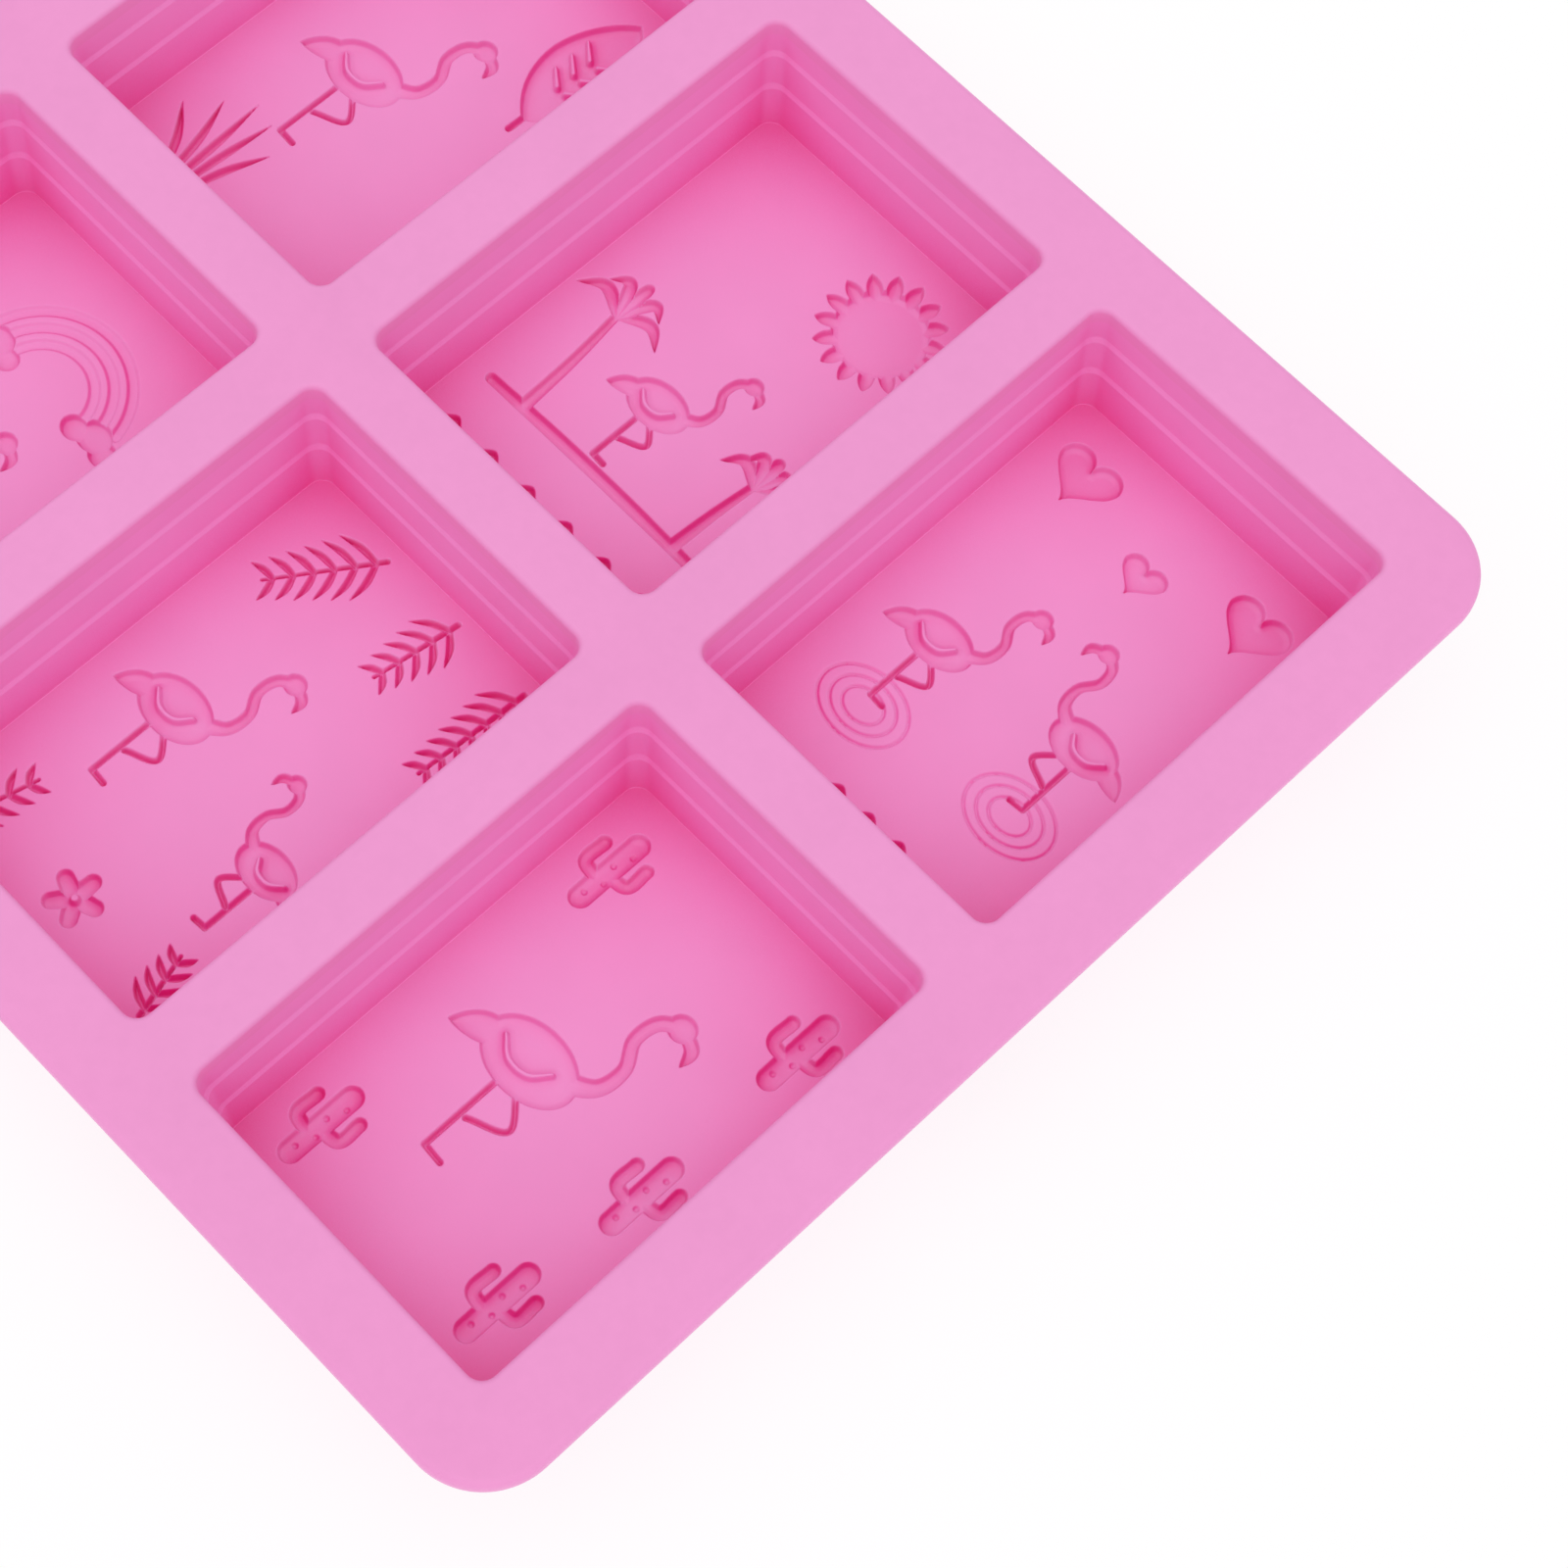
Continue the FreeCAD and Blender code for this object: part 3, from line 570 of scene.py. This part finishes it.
def soften(line, radii, n):
    """Polyline of (offset, height) with its inner corners rounded."""
    out = [line[0]]
    for k in range(1, len(line) - 1):
        p, a, b = np.array(line[k]), np.array(line[k - 1]), np.array(line[k + 1])
        r = radii[k - 1]
        d1, d2 = (a - p) / np.linalg.norm(a - p), (b - p) / np.linalg.norm(b - p)
        half = math.acos(max(-1.0, min(1.0, float(d1 @ d2)))) / 2
        t = r / math.tan(half)
        s, e = p + d1 * t, p + d2 * t
        c = p + (d1 + d2) / np.linalg.norm(d1 + d2) * (r / math.sin(half))
        a0, a1 = math.atan2(*(s - c)[::-1]), math.atan2(*(e - c)[::-1])
        turn = (a1 - a0 + math.pi) % (2 * math.pi) - math.pi
        for i in range(n + 1):
            q = a0 + turn * i / n
            out.append((c[0] + r * math.cos(q), c[1] + r * math.sin(q)))
    out.append(line[-1])
    return out


OPEN_STEPS, OPEN_SX, OPEN_SY = 10, 16, 24


def opening_loop(cav, offset, z, r=None):
    """Loop round an opening, offset outwards from its edge line at the deck."""
    return loop_rr(cav["x"], cav["y"], cav["hx"] + offset, cav["hy"] + offset, CAVITY_R if r is None else r, z,
                   OPEN_STEPS, OPEN_SX, OPEN_SY)


def wall_offset(z):
    """Offset of the first, nearly upright part of the cavity wall at height z."""
    top, low = deck_z + 1.0, deck_z - LEDGE_1 + LEDGE_H
    return -DRAFT * (top - z) / (top - low)


def in_openings(x, y, grow):
    hit = np.zeros(np.shape(x), bool)
    for c in cavities.values():
        qx, qy = np.abs(x - c["x"]) - (c["hx"] - CAVITY_R), np.abs(y - c["y"]) - (c["hy"] - CAVITY_R)
        d = np.hypot(np.maximum(qx, 0), np.maximum(qy, 0)) + np.minimum(np.maximum(qx, qy), 0) - CAVITY_R
        hit |= d < grow
    return hit


def deck_sheet(shell, outer, inners, grow, pitch, up):
    """Flat face of the deck between its outer loop and the six opening loops."""
    z = shell_points(shell)[outer[0]][2]
    rims = [outer] + inners
    ids, flat, edges = [], [], []
    for rim in rims:
        base = len(flat)
        pts = shell_points(shell)[rim]
        flat += [Vector((p[0], p[1])) for p in pts]
        ids += list(rim)
        edges += [(base + i, base + (i + 1) % len(rim)) for i in range(len(rim))]
    ox = shell_points(shell)[outer]
    hx, hy = ox[:, 0].max(), ox[:, 1].max()
    gx, gy = np.meshgrid(np.arange(-hx + pitch, hx - pitch * .5, pitch), np.arange(-hy + pitch, hy - pitch * .5, pitch))
    gx, gy = gx.ravel(), gy.ravel()
    r = DECK_R
    qx, qy = np.abs(gx) - (hx - r), np.abs(gy) - (hy - r)
    inside = np.hypot(np.maximum(qx, 0), np.maximum(qy, 0)) + np.minimum(np.maximum(qx, qy), 0) - r < -pitch * .55
    good = inside & ~in_openings(gx, gy, grow + pitch * .55)
    extra = shell.add(np.stack([gx[good], gy[good], np.full(good.sum(), z)], 1))
    flat += [Vector((x, y)) for x, y in zip(gx[good], gy[good])]
    ids += list(extra)
    coords, _, tris, origin, _, _ = delaunay_2d_cdt(flat, edges, [], 0, 1e-7)
    ids = np.array(ids)
    back = np.array([ids[o[0]] if o else -1 for o in origin])
    xy = np.array([(c.x, c.y) for c in coords])
    out = []
    for t in tris:
        if len(t) != 3 or min(back[list(t)]) < 0:
            continue
        m = xy[list(t)].mean(0)
        if in_openings(m[0], m[1], grow):
            continue
        a, b, c = xy[list(t)]
        turn = (b[0] - a[0]) * (c[1] - a[1]) - (b[1] - a[1]) * (c[0] - a[0])
        if abs(turn) < 1e-9:
            continue
        f = [back[i] for i in t]
        out.append(f if (turn > 0) == up else f[::-1])
    shell.faces(out)


def shell_points(shell):
    return np.concatenate(shell.v)


def build_deck(material):
    s = Shell()
    lo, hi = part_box("top_deck")
    hx, hy = (hi.x - lo.x) / 2 / MM, (hi.y - lo.y) / 2 / MM
    z0, z1 = lo.z / MM, hi.z / MM
    edge = arc(-DECK_UNDER_R, z0 + DECK_UNDER_R, DECK_UNDER_R, -90, 0, 7) + arc(-DECK_TOP_R, z1 - DECK_TOP_R, DECK_TOP_R, 0, 90, 10)
    loops = [s.add(loop_rr(0, 0, hx + o, hy + o, DECK_R + o, z, 26, 54, 48)) for o, z in edge]
    for a, b in zip(loops, loops[1:]):
        s.strip(a, b)
    tops, lows = [], []
    for c in cavities.values():
        o = wall_offset(z1 - LIP_R)
        lip = arc(o + LIP_R, z1 - LIP_R, LIP_R, 90, 180, 8) + [(wall_offset(z0), z0)]
        rims = [s.add(opening_loop(c, q, z, CAVITY_R + max(q, 0.0))) for q, z in lip]
        for a, b in zip(rims, rims[1:]):
            s.strip(a, b)
        tops.append(rims[0])
        lows.append(rims[-1])
    deck_sheet(s, loops[-1], tops, LIP_R, 4.0, True)
    deck_sheet(s, loops[0], lows, 0.0, 4.0, False)
    return s.piece("top_deck_skin", material)


def build_wall(name, cav, material):
    s = Shell()
    z0, z1 = cav["z_floor"], cav["z_deck"]
    ztop = deck_z
    d, w, h = DRAFT, LEDGE_W, LEDGE_H
    line = [(wall_offset(z1), z1), (-d, ztop - LEDGE_1 + h), (-d - w, ztop - LEDGE_1), (-2 * d - w, ztop - LEDGE_2 + h),
            (-2 * d - 2 * w, ztop - LEDGE_2), (-3 * d - 2 * w, z0 + FLOOR_FILLET)]
    inner = soften(line, (.34, .30, .34, .30), 6)
    inner += arc(-3 * d - 2 * w - FLOOR_FILLET, z0 + FLOOR_FILLET, FLOOR_FILLET, 0, -90, 12)[1:]
    slope = (WALL_OUT - FOOT_OUT) / z1
    outer = [(FOOT_OUT + slope * z0, z0)]
    outer += soften([(FOOT_OUT + slope * z0, z0), (WALL_OUT - slope * .0, z1), (WALL_OUT + 3.0, z1 + .001)], (1.1,), 7)[1:-1]
    rims = [s.add(opening_loop(cav, o, min(z, z1), CAVITY_R + o)) for o, z in outer]
    rims += [s.add(opening_loop(cav, o, z)) for o, z in inner]
    for a, b in zip(rims, rims[1:] + rims[:1]):
        s.strip(a, b)
    return s.piece(name, material)


def quad_tree(height, levels, tolerance):
    """Triangles over a height grid: fine where it bends, coarse where it is flat."""
    nv, nu = height.shape[0] - 1, height.shape[1] - 1
    bend = np.zeros_like(height)
    bend[1:-1] = np.abs(height[2:] - 2 * height[1:-1] + height[:-2])
    bend[:, 1:-1] = np.maximum(bend[:, 1:-1], np.abs(height[:, 2:] - 2 * height[:, 1:-1] + height[:, :-2]))
    bend[1:-1, 1:-1] = np.maximum(bend[1:-1, 1:-1], np.abs(height[2:, 2:] + height[:-2, :-2] - height[2:, :-2] - height[:-2, 2:]) / 2)
    top = np.maximum(np.maximum(bend[:-1, :-1], bend[1:, :-1]), np.maximum(bend[:-1, 1:], bend[1:, 1:]))
    split = [None]
    for k in range(1, levels + 1):
        top = top.reshape(top.shape[0] // 2, 2, top.shape[1] // 2, 2).max((1, 3))
        # a flat cell of side 2^k grid steps misses the surface by about bend * 4^k / 8
        split.append(top * 4 ** k / 8 > tolerance)
    for k in range(2, levels + 1):
        need = split[k - 1]
        wide = np.pad(need, 1)
        near = np.zeros_like(need)
        for dj in (0, 1, 2):
            for di in (0, 1, 2):
                near |= wide[dj:dj + need.shape[0], di:di + need.shape[1]]
        split[k] |= near.reshape(near.shape[0] // 2, 2, near.shape[1] // 2, 2).any((1, 3))
    tris = []
    row = nu + 1
    flat = height.ravel()
    for k in range(levels, -1, -1):
        size = 2 ** k
        shape = (nv // size, nu // size)
        exists = np.ones(shape, bool) if k == levels else np.repeat(np.repeat(split[k + 1], 2, 0), 2, 1)
        own = split[k] if k else np.zeros(shape, bool)
        j, i = np.nonzero(exists & ~own)
        if not len(j):
            continue
        c00 = (j * size) * row + i * size
        c10, c01 = c00 + size, c00 + size * row
        c11 = c01 + size
        fine = np.pad(exists & own, 1)
        hang = [fine[j, i + 1], fine[j + 1, i + 2], fine[j + 2, i + 1], fine[j + 1, i]]
        simple = ~(hang[0] | hang[1] | hang[2] | hang[3])
        a, b, c, d = c00[simple], c10[simple], c11[simple], c01[simple]
        slant = np.abs(flat[a] - flat[c]) <= np.abs(flat[b] - flat[d])
        tris.append(np.stack([a[slant], b[slant], c[slant]], 1))
        tris.append(np.stack([a[slant], c[slant], d[slant]], 1))
        o = ~slant
        tris.append(np.stack([a[o], b[o], d[o]], 1))
        tris.append(np.stack([b[o], c[o], d[o]], 1))
        if k == 0:
            continue
        half = size // 2
        m = ~simple
        centre = (c00 + half + half * row)[m]
        ring = [(c00, c10, c00 + half), (c10, c11, c10 + half * row), (c11, c01, c01 + half), (c01, c00, c00 + half * row)]
        for (p, q, mid), hg in zip(ring, hang):
            p, q, mid, hg = p[m], q[m], mid[m], hg[m]
            tris.append(np.stack([p[hg], mid[hg], centre[hg]], 1))
            tris.append(np.stack([mid[hg], q[hg], centre[hg]], 1))
            tris.append(np.stack([p[~hg], q[~hg], centre[~hg]], 1))
    return np.concatenate(tris)


def zipper(a, pa, b, pb):
    """Triangles between an outer loop a and an inner loop b, both anticlockwise and started near each other."""
    n, m = len(a), len(b)
    i = j = 0
    out = []
    while i < n or j < m:
        da = np.hypot(*(pa[(i + 1) % n] - pb[j % m])) if i < n else 1e9
        db = np.hypot(*(pa[i % n] - pb[(j + 1) % m])) if j < m else 1e9
        if da <= db:
            out.append((a[i % n], a[(i + 1) % n], b[j % m]))
            i += 1
        else:
            out.append((a[i % n], b[(j + 1) % m], b[j % m]))
            j += 1
    return out


def build_floor(name, cav, shapes, material):
    p = PITCH
    levels = 4
    nu, nv = int(round(52.0 / p)), int(round(76.0 / p))
    us, vs = 2.0 + p * np.arange(nu + 1), 2.0 + p * np.arange(nv + 1)
    inset = 2 * LEDGE_W + 3 * DRAFT + FLOOR_FILLET
    hx, hy = cav["hx"], cav["hy"]
    area = rounded_box_distance(us, vs, hx, hy, hx - inset - .02, hy - inset - .02, CAVITY_R)
    depth = relief_depth(shapes, us, vs, area)
    top = cav["z_floor"]
    tris = quad_tree(-depth, levels, FLAT_TOL)
    used, back = np.unique(tris, return_inverse=True)
    jj, ii = used // (nu + 1), used % (nu + 1)
    ou, ov = cav["x"] - hx, cav["y"] - hy
    s = Shell()
    s.add(np.stack([ou + us[ii], ov + vs[jj], top - depth[jj, ii]], 1))
    s.faces(back.reshape(-1, 3))
    # rim under the wall
    edge = []
    where = {int(u): k for k, u in enumerate(used)}
    side = [j * (nu + 1) + nu for j in range(nv)] + [nv * (nu + 1) + i for i in range(nu, 0, -1)] \
        + [j * (nu + 1) for j in range(nv, 0, -1)] + [i for i in range(nu)]
    edge = [where[q] for q in side if q in where]
    pts = shell_points(s)
    slope = (WALL_OUT - FOOT_OUT) / cav["z_deck"]
    rim_o = FOOT_OUT + slope * top
    foot = [(rim_o, top)]
    foot += arc(FOOT_OUT - 1.0 + slope, 1.0, 1.0, 0, -90, 7)
    rims = [s.add(opening_loop(cav, o, z, CAVITY_R + o)) for o, z in foot]
    pts = shell_points(s)
    first = int(np.argmin(np.hypot(*(pts[rims[0]][:, :2] - pts[edge[0]][:2]).T)))
    outer = np.roll(rims[0], -first)
    s.faces(zipper(outer, pts[outer][:, :2], np.array(edge), pts[edge][:, :2]))
    for a, b in zip(rims, rims[1:]):
        s.strip(b, a)
    # flat underside: quads across from a centre line would be stray, so one face per step of a fan
    low = rims[-1]
    mid = s.add([[cav["x"], cav["y"], pts[low[0]][2]]])
    s.faces(np.stack([np.roll(low, -1), low, np.full(len(low), mid[0])], 1))
    return s.piece(name, material, 84.0)


# ---- material ----------------------------------------------------------------
def silicone(name, base, depth_shade_tint, shade_power, shade_depth, nook_shade_depth):
    """Soft matt moulding silicone: cloudy pigment, fine bloom, a faint moulded grain, and painted shade and bounce
    light by depth, in creases and in small hollows.
    """
    mat = bpy.data.materials.new(name)
    mat.use_nodes = True
    nt = mat.node_tree
    nt.nodes.clear()
    new, link = nt.nodes.new, nt.links.new
    out = new("ShaderNodeOutputMaterial")
    bsdf = new("ShaderNodeBsdfPrincipled")
    link(bsdf.outputs["BSDF"], out.inputs["Surface"])
    coord = new("ShaderNodeTexCoord")
    here = coord.outputs["Object"]

    def noise(scale, detail, rough, dist=0.0):
        n = new("ShaderNodeTexNoise")
        n.inputs["Scale"].default_value = scale
        n.inputs["Detail"].default_value = detail
        n.inputs["Roughness"].default_value = rough
        n.inputs["Distortion"].default_value = dist
        link(here, n.inputs["Vector"])
        return n.outputs["Fac"]

    def ramp(fac, stops):
        r = new("ShaderNodeValToRGB")
        e = r.color_ramp.elements
        e[0].position, e[0].color = stops[0][0], (*stops[0][1], 1)
        e[1].position, e[1].color = stops[-1][0], (*stops[-1][1], 1)
        for pos, col in stops[1:-1]:
            x = e.new(pos)
            x.color = (*col, 1)
        link(fac, r.inputs["Fac"])
        return r.outputs["Color"]

    def mixed(kind, fac, a, b):
        m = new("ShaderNodeMix")
        m.data_type, m.blend_type = "RGBA", kind
        if isinstance(fac, float):
            m.inputs["Factor"].default_value = fac
        else:
            link(fac, m.inputs["Factor"])
        for sock, val in ((m.inputs["A"], a), (m.inputs["B"], b)):
            link(val, sock)
        return m.outputs["Result"]

    def sums(kind, a, b, c=None):
        m = new("ShaderNodeMath")
        m.operation = kind
        for sock, val in zip(m.inputs, (a, b) if c is None else (a, b, c)):
            if isinstance(val, (int, float)):
                sock.default_value = val
            else:
                link(val, sock)
        return m.outputs["Value"]

    def tone(c, k):
        return tuple(min(x * k, 1.0) for x in c)

    # pigment: broad clouds, then a finer mottling
    clouds = ramp(noise(38.0, 3.0, 0.55), [(0.32, tone(base, 0.978)), (0.5, base), (0.70, tone(base, 1.018))])
    mottle = ramp(noise(520.0, 2.0, 0.5), [(0.30, (0.972, 0.964, 0.970)), (0.65, (1.0, 1.0, 1.0))])
    colour = mixed("MULTIPLY", 0.75, clouds, mottle)
    # painted shade and bounce light: below the top of the deck the colour blends to a depth tint, standing in for the
    # shade and saturated bounced light low down in the moulding
    split = new("ShaderNodeSeparateXYZ")
    link(here, split.inputs["Vector"])
    depth_shade_mask = new("ShaderNodeMapRange")
    depth_shade_mask.interpolation_type = "SMOOTHSTEP"
    link(split.outputs["Z"], depth_shade_mask.inputs["Value"])
    depth_shade_mask.inputs["From Min"].default_value = 0.0265
    depth_shade_mask.inputs["From Max"].default_value = 0.0248
    depth_shade_mask.inputs["To Min"].default_value = 0.0
    depth_shade_mask.inputs["To Max"].default_value = 1.0
    depth_shaded = ramp(noise(90.0, 2.0, 0.5), [(0.3, tone(depth_shade_tint, 0.985)), (0.7, tone(depth_shade_tint, 1.01))])
    colour = mixed("MIX", depth_shade_mask.outputs["Result"], colour, depth_shaded)
    # painted shade: an occlusion test darkens creases and inside corners towards a dark saturated pink
    corner_shade_ao = new("ShaderNodeAmbientOcclusion")
    corner_shade_ao.samples = SHADE_SAMPLES
    corner_shade_ao.inputs["Distance"].default_value = 0.030
    corner_shade_amount = sums("POWER", sums("MAXIMUM", sums("SUBTRACT", 1.0, corner_shade_ao.outputs["AO"]), 0.0), shade_power)
    shade_tint = new("ShaderNodeRGB")
    shade_tint.outputs[0].default_value = (0.90, 0.0, 0.45, 1)
    colour = mixed("MULTIPLY", sums("MULTIPLY", corner_shade_amount, shade_depth), colour, shade_tint.outputs[0])
    if nook_shade_depth:   # the same inside the small sunk pictures and at the wall foot
        # painted shade: a short-range occlusion test darkens the small sunk pictures and the wall foot towards the same
        # dark pink
        nook_shade_ao = new("ShaderNodeAmbientOcclusion")
        nook_shade_ao.samples = SHADE_SAMPLES
        nook_shade_ao.inputs["Distance"].default_value = NOOK_SHADE_REACH
        nook_shade_amount = sums("MAXIMUM", sums("SUBTRACT", 1.0, nook_shade_ao.outputs["AO"]), 0.0)
        colour = mixed("MULTIPLY", sums("MULTIPLY", nook_shade_amount, nook_shade_depth), colour, shade_tint.outputs[0])
    # pale bloom of fine dust
    specks = sums("MULTIPLY", sums("SUBTRACT", noise(2600.0, 3.0, 0.7), 0.66), 3.2)
    pale = new("ShaderNodeRGB")
    pale.outputs[0].default_value = (1.0, 0.70, 0.88, 1)
    bloom = sums("MULTIPLY", sums("MINIMUM", sums("MAXIMUM", specks, 0.0), 1.0), 0.16)
    colour = mixed("MIX", bloom, colour, pale.outputs[0])
    link(colour, bsdf.inputs["Base Color"])
    # roughness: satin with smoother patches
    r = new("ShaderNodeMapRange")
    link(noise(160.0, 4.0, 0.6), r.inputs["Value"])
    r.inputs["From Min"].default_value, r.inputs["From Max"].default_value = 0.3, 0.7
    r.inputs["To Min"].default_value, r.inputs["To Max"].default_value = 0.44, 0.53
    link(r.outputs["Result"], bsdf.inputs["Roughness"])
    # grain: very fine moulded texture and a slow waviness of the skin
    grain = sums("ADD", sums("MULTIPLY", noise(5200.0, 2.0, 0.6), 0.55), sums("MULTIPLY", noise(1100.0, 3.0, 0.5), 0.45))
    b1 = new("ShaderNodeBump")
    b1.inputs["Strength"].default_value = 0.10
    b1.inputs["Distance"].default_value = 0.00012
    link(grain, b1.inputs["Height"])
    b2 = new("ShaderNodeBump")
    b2.inputs["Strength"].default_value = 0.12
    b2.inputs["Distance"].default_value = 0.0009
    link(noise(45.0, 1.0, 0.4), b2.inputs["Height"])
    link(b1.outputs["Normal"], b2.inputs["Normal"])
    link(b2.outputs["Normal"], bsdf.inputs["Normal"])
    bsdf.inputs["IOR"].default_value = 1.41
    bsdf.inputs["Specular IOR Level"].default_value = 0.5
    bsdf.inputs["Sheen Weight"].default_value = 0.10
    bsdf.inputs["Sheen Roughness"].default_value = 0.45
    bsdf.inputs["Sheen Tint"].default_value = (1.0, 0.78, 0.90, 1)
    return mat


BASE = (0.960, 0.345, 0.700)
# depth tints for the walls and beds, painted shade and bounce light low in the moulding; the deck has none
WALL_DEPTH_SHADE = (0.984, 0.352, 0.742)
BED_DEPTH_SHADE = (0.936, 0.340, 0.696)
DECK_DEPTH_SHADE = BASE

# ---- build ---------------------------------------------------------------------
dlo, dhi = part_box("top_deck")
deck_z = dhi.z / MM
cavities = {}
for motif in MOTIFS:
    wlo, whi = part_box("cup_wall_" + motif)
    cavities[motif] = {
        "x": (wlo.x + whi.x) / 2 / MM, "y": (wlo.y + whi.y) / 2 / MM,
        "hx": (whi.x - wlo.x) / 2 / MM - WALL_OUT, "hy": (whi.y - wlo.y) / 2 / MM - WALL_OUT,
        "z_floor": wlo.z / MM, "z_deck": whi.z / MM}

skin = silicone("silicone_deck", BASE, DECK_DEPTH_SHADE, 3.0, 1.0, 0.0)
cup = silicone("silicone_cup", BASE, WALL_DEPTH_SHADE, WALL_SHADE[0], WALL_SHADE[1], WALL_SHADE[2])
bed = silicone("silicone_bed", BASE, BED_DEPTH_SHADE, BED_SHADE[0], BED_SHADE[1], BED_SHADE[2])


def settle(piece, node):
    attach(piece, "root")
    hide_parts(node)


settle(build_deck(skin), "top_deck")
for motif, cav in cavities.items():
    settle(build_wall("cup_wall_skin_" + motif, cav, cup), "cup_wall_" + motif)
    settle(build_floor("cup_floor_skin_" + motif, cav, MOTIFS[motif](), bed), "cup_floor_" + motif)
for node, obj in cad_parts.items():
    obj.data.materials.clear()
    obj.data.materials.append(cup)

# ---- studio ----------------------------------------------------------------------
ground = bpy.data.meshes.new("ground")
side = 2.6
n = 24
xs = np.linspace(-side, side, n + 1)
gx, gy = np.meshgrid(xs, xs)
verts = [(float(x), float(y), -0.00006) for x, y in zip(gx.ravel(), gy.ravel())]
quads = [(j * (n + 1) + i, j * (n + 1) + i + 1, (j + 1) * (n + 1) + i + 1, (j + 1) * (n + 1) + i) for j in range(n) for i in range(n)]
ground.from_pydata(verts, [], quads)
ground.update()
ground_obj = bpy.data.objects.new("ground", ground)
bpy.context.scene.collection.objects.link(ground_obj)
gm = bpy.data.materials.new("pale_floor")
gm.use_nodes = True
gb = gm.node_tree.nodes["Principled BSDF"]
gb.inputs["Base Color"].default_value = (FLOOR_TONE, FLOOR_TONE, FLOOR_TONE, 1)
gb.inputs["Roughness"].default_value = 0.85
gb.inputs["Specular IOR Level"].default_value = 0.1
gb.inputs["Emission Color"].default_value = (1, 1, 1, 1)
gb.inputs["Emission Strength"].default_value = FLOOR_GLOW
ground.materials.append(gm)

world = bpy.data.worlds.new("studio")
bpy.context.scene.world = world
world.use_nodes = True
wt = world.node_tree
wt.nodes.clear()
w_out = wt.nodes.new("ShaderNodeOutputWorld")
w_bg = wt.nodes.new("ShaderNodeBackground")
w_seen = wt.nodes.new("ShaderNodeBackground")
w_mix = wt.nodes.new("ShaderNodeMixShader")
w_path = wt.nodes.new("ShaderNodeLightPath")
w_co = wt.nodes.new("ShaderNodeTexCoord")
w_dir = wt.nodes.new("ShaderNodeVectorMath")
w_dir.operation = "DOT_PRODUCT"
w_dir.inputs[1].default_value = Vector(LIGHT_FROM).normalized()
wt.links.new(w_co.outputs["Generated"], w_dir.inputs[0])
w_pos = wt.nodes.new("ShaderNodeMath")
w_pos.operation = "MAXIMUM"
w_pos.inputs[1].default_value = 0.0
wt.links.new(w_dir.outputs["Value"], w_pos.inputs[0])
w_pow = wt.nodes.new("ShaderNodeMath")
w_pow.operation = "POWER"
w_pow.inputs[1].default_value = DOME_FOCUS
wt.links.new(w_pos.outputs["Value"], w_pow.inputs[0])
w_sum = wt.nodes.new("ShaderNodeMath")
w_sum.operation = "MULTIPLY_ADD"
w_sum.inputs[1].default_value = DOME_TOP
w_sum.inputs[2].default_value = DOME_LOW
wt.links.new(w_pow.outputs["Value"], w_sum.inputs[0])
wt.links.new(w_sum.outputs["Value"], w_bg.inputs["Strength"])
w_seen.inputs["Color"].default_value = (0.96, 0.96, 0.96, 1)
wt.links.new(w_path.outputs["Is Camera Ray"], w_mix.inputs["Fac"])
wt.links.new(w_bg.outputs["Background"], w_mix.inputs[1])
wt.links.new(w_seen.outputs["Background"], w_mix.inputs[2])
wt.links.new(w_mix.outputs["Shader"], w_out.inputs["Surface"])


def lamp(name, size, power, place, aim):
    data = bpy.data.lights.new(name, "AREA")
    data.shape, data.size, data.energy = "DISK", size, power
    obj = bpy.data.objects.new(name, data)
    bpy.context.scene.collection.objects.link(obj)
    obj.location = place
    obj.rotation_mode = "QUATERNION"
    obj.rotation_quaternion = (Vector(aim) - Vector(place)).to_track_quat("-Z", "Y")
    return obj


if TOP_POWER:
    lamp("softbox_top", 1.2, TOP_POWER, (-0.10, -0.15, 1.3), (0, 0, 0))
bpy.context.scene.cycles.max_bounces = 20
bpy.context.scene.cycles.diffuse_bounces = 16
bpy.context.scene.view_settings.view_transform = "Standard"
bpy.context.scene.view_settings.look = "None"
